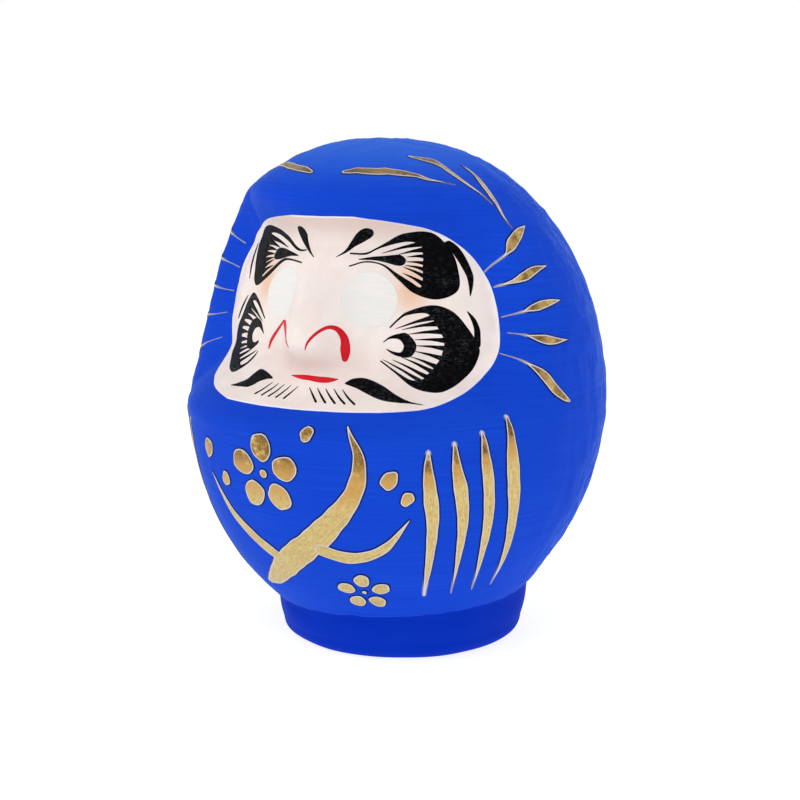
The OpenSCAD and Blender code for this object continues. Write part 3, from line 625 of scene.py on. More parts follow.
def red_paint():
    m = Nodes("red_paint")
    strokes = m.noise(m.brush((0.5, 3.0, 1.0)), 1.0, 3.0)
    edge = m.attribute("brush", 2)
    red = m.ramp(strokes, [(0.3, srgb(196, 14, 30)), (0.7, srgb(222, 34, 48))])
    color = m.mix(m.spread(edge, 0.16, 0.0, 0.0, 0.75), red, srgb(170, 10, 28))
    normal = m.bump(strokes, 0.04, 0.5)
    return m.finish(color, m.spread(strokes, 0.3, 0.7, 0.32, 0.45), normal, Specular_IOR_Level=0.08)


def gold_paint():
    """Thick gold paint combed by the brush, with the pale size showing round its edge.

    The tone attribute says how brown, how orange and how thin the gold lies; the brown is a painted
    reflection, dark brown patches with bright painted highlights.
    """
    m = Nodes("gold_paint")
    combed = m.noise(m.brush((0.22, 7.0, 0.0)), 1.0, 4.0, 0.6)
    scratch = m.noise(m.brush((0.35, 3.4, 0.0)), 1.0, 1.0, 0.4)
    flakes = m.noise(m.place(), 4.5, 3.0, 0.6)
    crinkle = m.noise(m.place(), 1.5, 4.0, 0.65)
    foil = m.noise(m.place(), 0.42, 3.0, 0.6)
    gold = m.ramp(combed, [(0.28, srgb(180, 150, 86)), (0.46, srgb(204, 180, 116)),
                           (0.62, srgb(217, 197, 138)), (0.80, srgb(232, 216, 162))])
    gold = m.mix(m.spread(crinkle, 0.48, 0.66, 0.0, 0.45), gold, srgb(158, 126, 72))
    line = m.spread(m.math("ABSOLUTE", m.math("SUBTRACT", scratch, 0.5)), 0.012, 0.0, 0.0, 0.5)
    gold = m.mix(line, gold, srgb(120, 92, 60))
    # Painted reflection: dark brown patches with bright painted highlights, as of a dark room and bright
    # lamps.
    brown = m.ramp(foil, [(0.36, srgb(66, 44, 18)), (0.52, srgb(134, 98, 42)),
                          (0.66, srgb(222, 194, 122))])
    brown = m.mix(m.spread(flakes, 0.5, 0.6, 0.0, 0.7), brown, srgb(192, 152, 84))
    gold = m.mix(m.attribute("tone", 1), gold, srgb(190, 142, 70))
    # The painted reflection comes in where the tone says brown.
    gold = m.mix(m.attribute("tone", 0), gold, brown)
    gold = m.mix(m.attribute("tone", 2), gold, srgb(196, 200, 222))
    edge = m.attribute("brush", 2)
    ragged = m.math("ADD", edge, m.spread(combed, 0.3, 0.7, -0.03, 0.03))
    pale = m.spread(ragged, 0.55, 0.46)
    color = m.mix(pale, gold, srgb(206, 204, 222))
    thick = m.math("SUBTRACT", 1.0, m.math("MULTIPLY", m.attribute("tone", 2), 0.6))
    outline = m.math("MULTIPLY", m.spread(edge, 0.31, 0.25), thick)
    color = m.mix(outline, color, srgb(2, 10, 50))
    thin = m.math("MAXIMUM", m.math("MAXIMUM", pale, outline), m.attribute("tone", 2))
    m.set(m.shader, "Metallic", m.spread(thin, 0.0, 1.0, 0.9, 0.0))
    rough = m.spread(flakes, 0.3, 0.7, 0.26, 0.42)
    wrinkled = m.bump(crinkle, 0.22, 0.5, m.bump(foil, 0.5, 0.4))
    normal = m.bump(flakes, 0.05, 0.5, m.bump(combed, 0.06, 0.6, wrinkled))
    return m.finish(color, rough, normal, Specular_IOR_Level=0.1)


def card_material():
    m = Nodes("card_fibre")
    fibres = m.noise(m.place((0.3, 2.4, 1.0)), 1.0, 5.0, 0.65)
    specks = m.noise(m.place(), 1.6, 2.0)
    color = m.ramp(fibres, [(0.3, srgb(172, 152, 122)), (0.55, srgb(196, 178, 148)),
                            (0.8, srgb(214, 200, 172))])
    color = m.mix(m.spread(specks, 0.62, 0.7, 0.0, 0.5), color, srgb(120, 100, 78))
    return m.finish(color, 0.85, m.bump(fibres, 0.08, 0.5))


def glue_material():
    m = Nodes("dried_glue")
    lumps = m.noise(m.place(), 0.6, 3.0)
    color = m.ramp(lumps, [(0.3, srgb(196, 176, 120)), (0.7, srgb(226, 214, 170))])
    return m.finish(color, m.spread(lumps, 0.3, 0.7, 0.25, 0.45), m.bump(lumps, 0.3, 0.6))


# ---- shell and foot

# Where the gloss of worn paint, lightened as a painted highlight, begins and the distance over which
# it comes in, in degrees from the middle of the face or in millimetres of height; the top of the
# hood is lightened as a painted highlight too
WEAR_AND_HIGHLIGHT_LEFT = (82.0, 18.0)
WEAR_AND_HIGHLIGHT_RIGHT = (80.0, 12.0)
WEAR_AND_HIGHLIGHT_BELLY_RIGHT = (43.0, 8.0)
BELLY_TOP, BELLY_TOP_H = 62.0, 8.0
WEAR_AND_HIGHLIGHT_CROWN, CROWN_SHARE = (98.0, 8.0), 0.25
PAINTED_HIGHLIGHT_TOP, PAINTED_HIGHLIGHT_SHARE = (99.0, 10.0), 0.6
PLAIN_ABOVE_JOINT_H = 8.0


def wear_and_highlight_of(points):
    """How worn the paint is round the sides and the crown, where it is also lightened as a painted
    highlight, and how far a painted highlight lightens the top of the hood.
    """
    azimuth = np.degrees(np.arctan2(points[:, 0], -points[:, 1]))
    z = points[:, 2]
    belly = ease((BELLY_TOP - z) / BELLY_TOP_H) * fade(-azimuth, *WEAR_AND_HIGHLIGHT_BELLY_RIGHT)
    sides = np.maximum(np.maximum(fade(azimuth, *WEAR_AND_HIGHLIGHT_LEFT), fade(-azimuth, *WEAR_AND_HIGHLIGHT_RIGHT)), belly)
    crown = CROWN_SHARE * fade(z, *WEAR_AND_HIGHLIGHT_CROWN)
    wear_and_highlight = np.maximum(sides, crown) * fade(z, FOOT_H, PLAIN_ABOVE_JOINT_H)
    # The second value is the painted highlight on the top of the hood.
    return np.stack([wear_and_highlight, PAINTED_HIGHLIGHT_SHARE * fade(z, *PAINTED_HIGHLIGHT_TOP), 0.0 * z], axis=-1)


# Grid of the shell: columns round it, and the height where the rows of the crown begin
SHELL_COLUMNS = 400
BELT_TOP, BELT_ROWS, CROWN_ROWS = 96.0, 150, 32
INNER_FOOT, INNER_TOP, INNER_ROWS = 6.0, 92.0, 26
# Radius of the chamfered lower edge as shares of the outer radius
LIP_MID, LIP_IN = 0.965, 0.89


def crown_levels(angles):
    return BELT_TOP + (EGG_TOP - BELT_TOP) * np.sin(angles)


def build_shell():
    """The hollow paper body: outer skin, lower edge and inner wall as one closed mesh."""
    columns = SHELL_COLUMNS
    azimuth = np.arange(columns) * 360.0 / columns
    crown = crown_levels(np.linspace(0.0, math.pi / 2, CROWN_ROWS + 2)[1:-1])
    levels = np.concatenate([np.linspace(FOOT_H, BELT_TOP, BELT_ROWS), crown])
    outer = skin(azimuth[None, :], levels[:, None])
    inner_belt = np.linspace(FOOT_H + INNER_FOOT, INNER_TOP, INNER_ROWS)
    inner_levels = np.concatenate([[FOOT_H + 2.6], inner_belt, crown_levels(np.linspace(0.0, 1.3, 6))])
    inner = skin(azimuth[None, :], inner_levels[:, None], -WALL)
    lip = skin(azimuth, np.full(columns, FOOT_H))
    centre = np.array([0.0, -float(lean(np.float64(FOOT_H))), FOOT_H])
    edge = centre + (lip - centre) * LIP_IN
    lip_mid = centre + (lip - centre) * LIP_MID
    tip = np.array([[-SIDE_LEAN, -CROWN_LEAN, outer[-1, :, 2].mean() + 0.02]])
    tip_in = tip - np.array([[0.0, 0.0, WALL]])
    n_out, n_in = len(levels), len(inner_levels) + 1
    points = np.concatenate([outer.reshape(-1, 3), tip, lip_mid, edge, inner.reshape(-1, 3), tip_in])
    tip_index = n_out * columns
    mid_first = tip_index + 1
    in_first = mid_first + columns
    tip_in_index = in_first + n_in * columns
    faces = grid_faces(n_out, columns, closed=True)
    faces += grid_faces(n_in, columns, in_first, closed=True, flip=True)
    faces += cap(tip_index - columns, tip_index, columns)
    faces += cap(tip_in_index - columns, tip_in_index, columns, flip=True)
    faces += band(mid_first, 0, columns) + band(in_first, mid_first, columns)
    shell = new_object("paper_shell_skin", points, faces, {"wear_and_highlight": wear_and_highlight_of(points)})
    finish_piece(shell, blue_paint("blue_body_paint"), "paper_shell")


TURNED_COLUMNS = 220


def turned(name, profile, wobble=None):
    """A solid of revolution whose profile of (radius, height) starts and ends on the axis."""
    columns = TURNED_COLUMNS
    t = np.arange(columns) * 2.0 * math.pi / columns
    rings = np.array(profile[1:-1])
    r = rings[:, :1] * np.ones((1, columns))
    z = rings[:, 1:2] * np.ones((1, columns))
    if wobble is not None:
        r = r + wobble(r, t[None, :], z)
    body = around(r, t, z).reshape(-1, 3)
    ends = np.array([[0.0, 0.0, profile[0][1]], [0.0, 0.0, profile[-1][1]]])
    count = len(rings) * columns
    faces = grid_faces(len(rings), columns, closed=True)
    faces += cap(0, count, columns, flip=True) + cap(count - columns, count + 1, columns)
    return new_object(name, tilted(np.concatenate([body, ends])), faces, sharp_deg=60.0)


FOOT_R = 26.7
FOOT_EDGE_R = 3.4
FOOT_STEPS = 12
FOOT_BULGE = 0.35
FOOT_DENT = 0.10
SPIGOT_R, SPIGOT_H, SPIGOT_HOLLOW_R = 24.3, 5.5, 19.3
CARD_GAP = 0.05


def tilted(points):
    """Leans turned points into the plane of the joint, the more the higher they are."""
    angle = math.radians(JOINT_AZIMUTH)
    across = points[:, 0] * math.sin(angle) - points[:, 1] * math.cos(angle)
    share = np.clip(points[:, 2] / FOOT_H, 0.0, 1.0)
    return points + np.stack([0 * share, 0 * share, across * share * JOINT_RISE / FOOT_TOP_R], axis=-1)


def build_foot():
    """The weighted clay foot, with the bead of paint that fills the joint above it."""
    recess_r = CARD_R + CARD_GAP
    profile = [(0.0, CARD_T), (recess_r, CARD_T), (recess_r, 0.25), (CARD_R + 0.3, 0.0)]
    for i in range(FOOT_STEPS + 1):
        t = math.pi / 2 * i / FOOT_STEPS
        profile.append((FOOT_R - FOOT_EDGE_R * (1 - math.sin(t)), FOOT_EDGE_R * (1 - math.cos(t))))
    top_r, top_z = FOOT_TOP_R - 0.1, FOOT_H - 0.5
    for i in range(1, FOOT_STEPS + 1):
        s = i / FOOT_STEPS
        bulge = FOOT_BULGE * math.sin(math.pi * s)
        profile.append((FOOT_R + (top_r - FOOT_R) * s + bulge, FOOT_EDGE_R + (top_z - FOOT_EDGE_R) * s))
    seam_r = float(egg_r(np.float64(FOOT_H)))
    profile += [(top_r + 0.08, FOOT_H - 0.2), (top_r + 0.22, FOOT_H + 0.05), (top_r + 0.42, FOOT_H + 0.3),
                (seam_r + 0.42, FOOT_H + 0.5), (seam_r + 0.15, FOOT_H + 0.3), (seam_r - 0.15, FOOT_H)]
    profile += [(SPIGOT_R, FOOT_H), (SPIGOT_R, FOOT_H + SPIGOT_H), (SPIGOT_HOLLOW_R, FOOT_H + SPIGOT_H),
                (SPIGOT_HOLLOW_R - 6, FOOT_H - 1), (0.0, FOOT_H - 2)]
    bumps = wave_field(41, 20, 9.0, 22.0)

    def wobble(r, t, z):
        outside = fade(r, CARD_R + 1.5, 2.0) * ease((FOOT_H - 0.2 - z) / 1.5)
        return -FOOT_DENT * (1.0 + field_value(bumps, around(r, t, z))) * outside

    foot = turned("clay_foot", profile, wobble=wobble)
    # The foot takes the darker copy of the blue, as painted shade.
    finish_piece(foot, blue_paint("shaded_blue_foot_paint", foot=True), "clay_base")


def build_card():
    edge_r = CARD_R - CARD_GAP
    profile = [(0.0, 0.0), (CARD_R - 6.0, 0.0), (CARD_R - 0.45, 0.0), (CARD_R - 0.12, 0.12), (edge_r, 0.3),
               (edge_r, CARD_T), (0.0, CARD_T)]
    card = turned("underside_card", profile)
    finish_piece(card, card_material(), "bottom_card")


def build_glue():
    """The bead of glue inside the joint of shell and foot."""
    columns = 160
    t = np.arange(columns) * 2.0 * math.pi / columns
    section = [(0.0, 0.9), (0.45, 1.1), (0.75, 1.7), (1.0, 2.6), (0.8, 3.5), (0.3, 4.1), (0.0, 4.2)]
    lump = 0.85 + 0.15 * np.sin(5 * t + 0.6) * np.sin(2 * t)
    rings = [around(SPIGOT_R + r * lump, t, FOOT_H + z) for r, z in section]
    faces = grid_faces(len(section), columns, closed=True)
    faces += band((len(section) - 1) * columns, 0, columns)
    glue = new_object("glue_bead", tilted(np.concatenate(rings)), faces)
    finish_piece(glue, glue_material(), "base_glue")


# ---- painted marks

FACE_OUTLINE = [
    (26, 56.7, 26, 57.2), (38, 57.5, 38, 57.7), (45, 58.4, 47, 59.2), (51, 59.7, 54.5, 61.1),
    (58.5, 63, 61.6, 63.9), (64, 67.3, 66, 68), (67.4, 72, 68, 72.4), (68.1, 77.5, 68.5, 78),
    (68.5, 82.5, 68, 82.5), (67, 86.9, 65.5, 86.5), (61.5, 90, 59, 89.8), (49, 92.2, 48, 92.2),
    (33, 93.5, 33, 93.6), (16, 94.5, 16, 94.8)
]
EYE_LEFT = (21.9, 78.2, 5.5, 5.85)
EYE_RIGHT = (22.8, 78.2, 6.2, 5.5)
LASH_W = 0.8
LASH_W_RIGHT = 1.2
HAIRS, HAIR_FIRST, HAIR_GAP = 5, 2.1, 2.8
HAIR_ROOT_Z, HAIR_TIP_Z = 60.7, 58.3
HAIR_SLANT_LEFT, HAIR_SLANT_RIGHT = 4.6, 2.6

# The marks are painted by hand, so most have stations of their own on the doll's right
BROW_MASS_LEFT = [
    (11.5, 87.3, 11.5, 87), (19, 87.3, 19, 86.9), (24, 88.2, 24, 87.8), (29, 89.3, 28.5, 88.5),
    (37.9, 91.3, 38.8, 89.5), (50, 91.5, 45.3, 89), (57.8, 88, 46, 87), (58.6, 83.4, 45, 84.6),
    (56.5, 79.8, 44, 81.8), (48.5, 78.2, 42.5, 80.6), (40, 79.4, 39, 81.7), (34, 82, 33, 83.5),
    (27.5, 84.7, 27.5, 85.1), (19.5, 85.4, 19.5, 85.7), (12, 84.5, 12, 84.8)
]
BROW_MASS_RIGHT = [
    (13.8, 87.4, 13.8, 87.1), (18.2, 87.2, 18, 86.8), (24.4, 87.9, 23.4, 87.1), (32, 89.8, 34, 88.7),
    (39, 91, 41, 89.6), (47.5, 91.3, 47.4, 89.6), (56, 90, 50.2, 88.4), (59.4, 87.6, 49.6, 86.9),
    (56.6, 84.8, 48, 85.1), (53.4, 82, 46.4, 82.9), (50.4, 79.3, 45, 80.8), (46.4, 78.4, 43.4, 80.6),
    (39.4, 80.6, 39.6, 82), (31.4, 83.8, 32.4, 84.5), (25.5, 84.7, 26, 85.1), (13.8, 84.5, 13.9, 84.8)
]
BROW_CRESCENT_LEFT = [
    (56, 89.5, 1.4), (60.1, 87.6, 1.9), (62.2, 83.6, 1.5), (62, 81.4, 1), (60.7, 78.8, 0.2)
]
BROW_CRESCENT_RIGHT = [(60.6, 86.8, 0.4), (59.4, 84.6, 0.9), (57.4, 82, 0.8), (55.3, 79.3, 0.2)]
BROW_PUPIL_LEFT = [
    (16, 86, 0.2), (23, 86.2, 0.8), (28.5, 86.1, 1.4), (33.7, 85.9, 2.3), (36.1, 85.9, 2.2), (38.2, 86, 0.9)
]
BROW_PUPIL_RIGHT = [
    (18.9, 85.9, 0.2), (25.2, 86, 1), (32, 85.8, 2.2), (36.6, 85.6, 2.7), (39.2, 85.5, 2.3), (40.6, 85.5, 1)
]
BROW_LASHES_LEFT = [
    (46, 89.1, 27, 87.2), (47, 87.9, 35, 87), (47.5, 86.6, 38.5, 86.5),
    (47, 85.2, 38, 85.6), (46, 84, 37.5, 84.9), (45.5, 82.6, 36.5, 84.6),
    (44, 81.3, 36, 83.4)
]
BROW_LASHES_RIGHT = [
    (51, 88.8, 30.5, 87.1), (51, 87.6, 38.1, 86.8), (50, 86.2, 39.8, 86.2),
    (49, 84.9, 40.2, 85.4), (47.6, 83.6, 39.7, 84.7), (46.6, 82.3, 39, 84.3),
    (45.6, 81.2, 38.1, 83.1)
]
BEARD_MASS_LEFT = [
    (29, 72.7, 29.5, 72.5), (33, 74.6, 33, 74.1), (37, 75.9, 36.5, 75.1), (46.5, 77.1, 44, 75.4),
    (53.5, 75.8, 47, 73), (57.8, 72.4, 49, 70), (60.4, 68.8, 48, 67.6), (60.2, 66.9, 46.6, 66),
    (57.6, 64.5, 44.6, 64.8), (53, 62.5, 42.8, 63.9), (47.5, 60.9, 41, 63.2), (42.5, 60.3, 39.5, 62.6),
    (36, 61.2, 35.5, 62.5), (30.5, 63.6, 30.5, 64.1), (25, 65.8, 25.2, 66.1)
]
BEARD_MASS_RIGHT = [
    (33.5, 72.2, 34, 72), (39.6, 74.8, 40.4, 74.2), (44, 76.2, 44.3, 75.2), (48, 76.8, 46.6, 75),
    (51, 75, 48, 73.5), (53.6, 71.8, 50.4, 71.2), (56.4, 69, 52, 68.9), (57.4, 66.7, 52, 66.9),
    (56.6, 65, 51, 65), (54.4, 63.4, 49.2, 64.1), (50, 62.1, 46, 63.2), (44.4, 60.9, 42.4, 62.5),
    (38.4, 60.5, 39, 61.9), (35.8, 62.1, 37, 62.6), (35.2, 63.6, 36.4, 63.9), (35.3, 65, 35.6, 65.1)
]
BEARD_CRESCENT_LEFT = [
    (58.5, 75.8, 0.2), (60, 74.2, 0.9), (60.7, 72.3, 1.2), (60.4, 70.4, 1.3), (59.8, 68.4, 1.4)
]
BEARD_CRESCENT_RIGHT = [(52.2, 76, 0.2), (54.4, 74.2, 0.7), (56.2, 72.3, 0.8), (57.6, 70.3, 0.5)]
BEARD_PUPIL_LEFT = [
    (26.5, 69.8, 26.6, 69.6), (29, 70.8, 28.8, 70.3), (32.5, 71.4, 31.5, 70.4), (36, 71.4, 33.2, 70),
    (39, 69, 34.2, 68.9), (36.3, 66.7, 33, 67.7), (31, 67, 30.3, 67.8), (27.5, 68.2, 27.6, 68.4)
]
BEARD_PUPIL_RIGHT = [
    (33, 69, 33.1, 68.8), (36, 71.1, 36.7, 69.9), (40.3, 71.8, 38.9, 69.9), (44.4, 70.8, 41, 69.3),
    (46.8, 68.1, 42.5, 67.9), (46.2, 65.5, 41.6, 66.7), (41.5, 65, 39.7, 66.6), (36.7, 66.8, 37.1, 67.3)
]
BEARD_LASHES_LEFT = [
    (46, 74.6, 31.5, 72.4), (47, 73.4, 34, 72.2), (48.5, 71.8, 36, 71.3),
    (49.5, 70, 38.5, 70.2), (49, 68.4, 38.5, 69), (47.5, 66.4, 38, 67.9),
    (45, 64.8, 36.5, 66.8), (43, 64, 33, 66.7), (41, 63, 29.5, 66.2), (39, 62.2, 26, 66.2)
]
BEARD_LASHES_RIGHT = [
    (48, 74.4, 35.4, 71.4), (49.4, 73, 39, 71.6), (51, 71.6, 40.8, 70.7),
    (53, 69.8, 43.6, 69.5), (53.6, 67.9, 45, 68.3), (53.4, 66, 44.6, 66.9),
    (51.8, 64.6, 43.6, 66), (49.4, 63.7, 42.2, 65.6), (46, 62.9, 39.9, 65.4),
    (43, 62.1, 36.5, 65.2)
]
DROP_LEFT = [
    (5.5, 86.4, 0.15), (9.5, 87.5, 0.6), (13, 89, 1.3),
    (17.5, 90.5, 2.4), (21, 91.5, 2.6), (23.4, 92.1, 1.2)
]
DROP_RIGHT = [
    (6.3, 86.1, 0.2), (10.8, 87.1, 0.6), (14.4, 88.3, 1.3),
    (16, 89.5, 2.3), (15.9, 90.8, 2.7), (14.6, 92.2, 1.6)
]
MOUSTACHE_LEFT = [
    (13.5, 61.8, 13.6, 61.6), (16, 62.6, 17.5, 61), (20.5, 62.7, 21, 60.2), (26, 61.6, 25.5, 59.2),
    (30, 60.2, 30, 58.8), (34, 59, 34, 58.6), (38, 58.4, 38, 58.3)
]
MOUSTACHE_RIGHT = [
    (14.8, 61.4, 14.9, 61.2), (20, 62.1, 17.2, 61), (24.8, 62.3, 19.4, 60.4), (26, 61.4, 20.8, 59.6),
    (26.4, 60.3, 22.6, 59.1), (28.2, 59.5, 26, 58.9), (31, 58.7, 30.8, 58.6)
]
NOSTRIL_LEFT = [(2.1, 68.5, 0.15), (3.6, 70.6, 0.5), (5.8, 72.2, 0.6), (8.4, 73, 0.75), (11, 72.3, 0.95),
                (12.8, 70.4, 1.4), (12.9, 68, 1.7), (12.3, 65.7, 0.9)]
NOSTRIL_RIGHT = [[(-28, 66, 0.5), (-26.2, 68, 1), (-22, 70.4, 0.9), (-17.2, 72.8, 0.6)],
                 [(-17, 72.9, 0.9), (-14.4, 71.8, 1.7), (-9.4, 70.2, 1.6), (-5.4, 68.4, 0.3)]]
LIPS = [(-7, 62.4, 0.15), (-3.5, 62.4, 0.8), (0.5, 62.4, 1.05), (4.5, 62.2, 1.3), (8, 62.2, 1.2),
        (11, 62.4, 0.15)]

HEAD_FRONT_LEFT = [(7.8, 104, 1.3), (17.5, 104.2, 2.5), (38, 103.9, 2.5), (54, 102.1, 0.9),
                   (62.5, 101.2, 0.25)]
HEAD_FRONT_RIGHT = [(8.2, 103.7, 1.2), (15.4, 104.1, 2.2), (26, 104.4, 2.4), (41, 104.6, 2.2),
                    (60, 104.1, 0.4)]
HEAD_STROKES = [
    [(46.8, 107.4, 0.8), (56.5, 106.5, 2), (63, 105, 2.2), (71, 99.9, 1), (74.2, 97.1, 0.3)],
    [(79.9, 105.4, 0.5), (80.2, 103.3, 1.3), (77.2, 100.3, 1.7), (75.7, 94.9, 1), (77.6, 92.3, 0.25)]
]
CHEEK_STROKES_LEFT = [
    [(66.1, 82.2, 0.25), (69.8, 84.8, 0.3), (73, 87.3, 0.7),
        (75.8, 89.9, 2.7), (80.3, 91.6, 2.3), (84.9, 92.8, 0.4)],
    [(68.8, 80.4, 0.25), (72.8, 81.8, 1.2), (76.2, 83.2, 2.3), (80.6, 84.2, 1.9), (85.5, 84.6, 0.5)],
    [(68.8, 74.4, 0.25), (72.3, 75.6, 0.5), (75.8, 76.8, 2.1), (80.7, 77.4, 1.9), (85.6, 77.6, 0.4)],
    [(69, 71.4, 0.25), (71.5, 71.2, 0.5), (75, 70.4, 2.4), (79.4, 69.8, 2), (84.9, 69.6, 0.4)],
    [(65.7, 67.4, 0.3), (69.3, 66.2, 0.5), (72.4, 63.8, 2.2),
        (75, 60.6, 2.7), (78.1, 58.4, 2.2), (81, 57, 0.8)]
]
CHEEK_STROKES_RIGHT = [
    [(69.8, 86.1, 0.25), (73.4, 87.8, 0.4), (78.4, 89.8, 2.2), (83, 91.5, 2.1), (87.4, 92.6, 0.4)],
    [(69.2, 80.8, 0.25), (73, 82, 0.4), (78, 83.2, 2), (83.2, 84.3, 1.8), (88.2, 84.7, 0.4)],
    [(69, 75.6, 0.25), (72.8, 75.9, 0.4), (78, 76.7, 2), (83.2, 77.4, 1.8), (88.4, 77.7, 0.4)],
    [(68.8, 70.8, 0.25), (72.6, 69.8, 0.45), (77.8, 69.3, 2.1), (82.4, 69, 1.8), (87.6, 68.9, 0.4)],
    [(65.7, 65.5, 0.25), (69.4, 63.8, 0.4), (74.2, 61, 1.8),
        (77.8, 59, 2.4), (81, 57.5, 1.8), (84, 56.4, 0.6)]
]
BELLY_STRIPES = [
    [(37.7, 50.4, 1), (37.7, 46.2, 2.4), (38.6, 40.2, 3.4),
        (39.5, 34.4, 3.1), (39.3, 25.9, 2.2), (38.7, 16, 0.9)],
    [(44.2, 52, 1), (45, 46.6, 2.5), (46.6, 41, 3.4),
        (47.9, 34.4, 2.9), (48.2, 25.7, 1.7), (48.7, 16, 0.3)],
    [(51.7, 53.8, 1), (52.5, 48.7, 2.4), (54.1, 42.3, 3.1),
        (55.4, 34.6, 2.8), (55.8, 25.2, 1.8), (56.7, 16.2, 0.3)],
    [(60.1, 56.2, 1), (59.7, 51.4, 2.5), (61, 44.7, 3.5),
        (63, 35.8, 3.2), (64.5, 25.4, 2), (64.5, 16.5, 0.3)]
]
BELLY_SHIFT_RIGHT = 8.4
SPRIG_BRANCHES = [
    [(-26, 16.6, 1.4), (-17, 19, 4.6), (-4, 25, 6.6), (8, 31.4, 6.2),
        (18, 40, 4.6), (20.5, 48, 3), (17.5, 55, 0.8)],
    [(-8, 24, 3.6), (-17.5, 28.5, 3.4), (-25, 33.5, 2.4), (-31, 41, 0.6)],
    [(5, 28.5, 3.6), (16, 26.4, 3.5), (26, 28.7, 2.6), (33.5, 35.6, 0.6)]
]
SPRIG_FLOWERS = [(-7, 43.4, 5.8), (18, 17.7, 3.8)]
SPRIG_BUDS = [(-30, 46, 2.5), (-23, 40.4, 2), (28, 44, 2.4), (32.6, 40, 1.9), (7, 52.8, 2)]

SIDES = (("left", False), ("right", True))
BROWS = {
    "left": (BROW_MASS_LEFT, BROW_CRESCENT_LEFT, BROW_PUPIL_LEFT, BROW_LASHES_LEFT),
    "right": (BROW_MASS_RIGHT, BROW_CRESCENT_RIGHT, BROW_PUPIL_RIGHT, BROW_LASHES_RIGHT),
}
BEARDS = {
    "left": (BEARD_MASS_LEFT, BEARD_CRESCENT_LEFT, BEARD_PUPIL_LEFT, BEARD_LASHES_LEFT),
    "right": (BEARD_MASS_RIGHT, BEARD_CRESCENT_RIGHT, BEARD_PUPIL_RIGHT, BEARD_LASHES_RIGHT),
}


def tint_and_shade_of(azimuth, z):
    """Peach airbrush tint beside the eyes, and painted shade of tan under the brim and under the nose."""
    a = np.abs(azimuth)
    peach = np.exp(-((a - 38.0) / 7.0) ** 2 - ((z - 79.4) / 3.8) ** 2)
    peach = np.maximum(peach, 0.85 * np.exp(-((a - 41.0) / 9.0) ** 2 - ((z - 82.8) / 2.6) ** 2))
    # Painted shade under the brim of the hood, and under the nose.
    painted_shade = 0.75 * ease((z - 88.0) / 6.0) * ease((62.0 - a) / 20.0)
    painted_shade = np.maximum(painted_shade, 0.65 * np.exp(-((azimuth + 4.0) / 21.0) ** 2 - ((z - 64.9) / 2.7) ** 2))
    return np.clip(peach, 0, 1), np.clip(painted_shade, 0, 1)


def build_face():
    rows = [(-a, z, b, y) for a, z, b, y in curve(FACE_OUTLINE, 7)]
    grid = patch_grid(rows, lanes=190, smooth=False)
    face = film([grid], 0.0, GROUND_T, 0.30, "face_ground")
    peach, painted_shade = tint_and_shade_of(grid[0].ravel(), grid[1].ravel())
    tint_and_shade = np.stack([peach, painted_shade, 0.0 * peach], axis=-1)
    vector_attribute(face.data, "tint_and_shade", np.concatenate([tint_and_shade, tint_and_shade]))
    finish_piece(face, face_paint(), "face_panel")


def lash_grids(lashes, root_w, seed):
    """Lashes from inside the mass, where they are broadest, to a fine tip at the pupil."""
    grids = []
    for i, (a0, z0, a1, z1) in enumerate(lashes):
        start = (a0 + (a0 - a1) * 0.14, z0 + (z0 - z1) * 0.14, root_w * 1.8)
        neck = (a0 + (a1 - a0) * 0.22, z0 + (z1 - z0) * 0.22 + 0.1, root_w)
        middle = ((a0 + a1) / 2, (z0 + z1) / 2 + 0.15, root_w * 0.62)
        rows = [start, neck, middle, (a1, z1, 0.1)]
        grids.append(stroke_grid(rows, 0.25, 6, 0.03, seed + i))
    return grids


def mass_grids(mass, crescent, pupil, lashes, root_w, seed):
    """The solid mass of a brow or a beard with its crescent, its pupil and its lashes."""
    two_edged = len(pupil[0]) == 4
    pupil_grid = patch_grid(pupil) if two_edged else stroke_grid(pupil, waver=0.02)
    grids = [patch_grid(mass), stroke_grid(crescent, waver=0.02), pupil_grid]
    return grids + lash_grids(lashes, root_w, seed)


def hair_grids(mirrored):
    grids = []
    slant = HAIR_SLANT_RIGHT if mirrored else HAIR_SLANT_LEFT
    for i in range(HAIRS):
        root, tip = HAIR_FIRST + HAIR_GAP * i, HAIR_FIRST + HAIR_GAP * i + slant + 0.15 * i
        middle_z = (HAIR_ROOT_Z + HAIR_TIP_Z) / 2
        rows = [(root, HAIR_ROOT_Z, 0.15), (root + slant / 2, middle_z, 0.4), (tip, HAIR_TIP_Z, 0.5)]
        grids.append(stroke_grid(rows, 0.2, 5, 0.03, 90 + i))
    return grids


def build_eye(side, mirrored, white):
    place = EYE_RIGHT if mirrored else EYE_LEFT
    grid = dab_grid(*place, steps=60, lanes=44, wobble=0.008, seed=3)
    eye = film([grid], GROUND_T, EYE_T, 0.4, f"blank_eye_{side}", mirrored)
    finish_piece(eye, white, f"eye_{side}")


def build_ink_marks(side, mirrored, ink):
    root_w = LASH_W_RIGHT if mirrored else LASH_W
    drop = stroke_grid(DROP_RIGHT if mirrored else DROP_LEFT, 0.25, 10, 0.02)
    leaf = patch_grid(MOUSTACHE_RIGHT if mirrored else MOUSTACHE_LEFT, 8, 10)
    marks = (("brow", mass_grids(*BROWS[side], root_w, 60)),
             ("beard", mass_grids(*BEARDS[side], root_w, 80)),
             ("temple_drop", [drop]), ("moustache", [leaf]), ("chin_hairs", hair_grids(mirrored)))
    for kind, grids in marks:
        shoulder = 0.2 if kind == "chin_hairs" else 0.3
        mark = film(grids, GROUND_T, INK_T, shoulder, f"{kind}_ink_{side}", mirrored)
        finish_piece(mark, ink, f"{kind}_{side}")


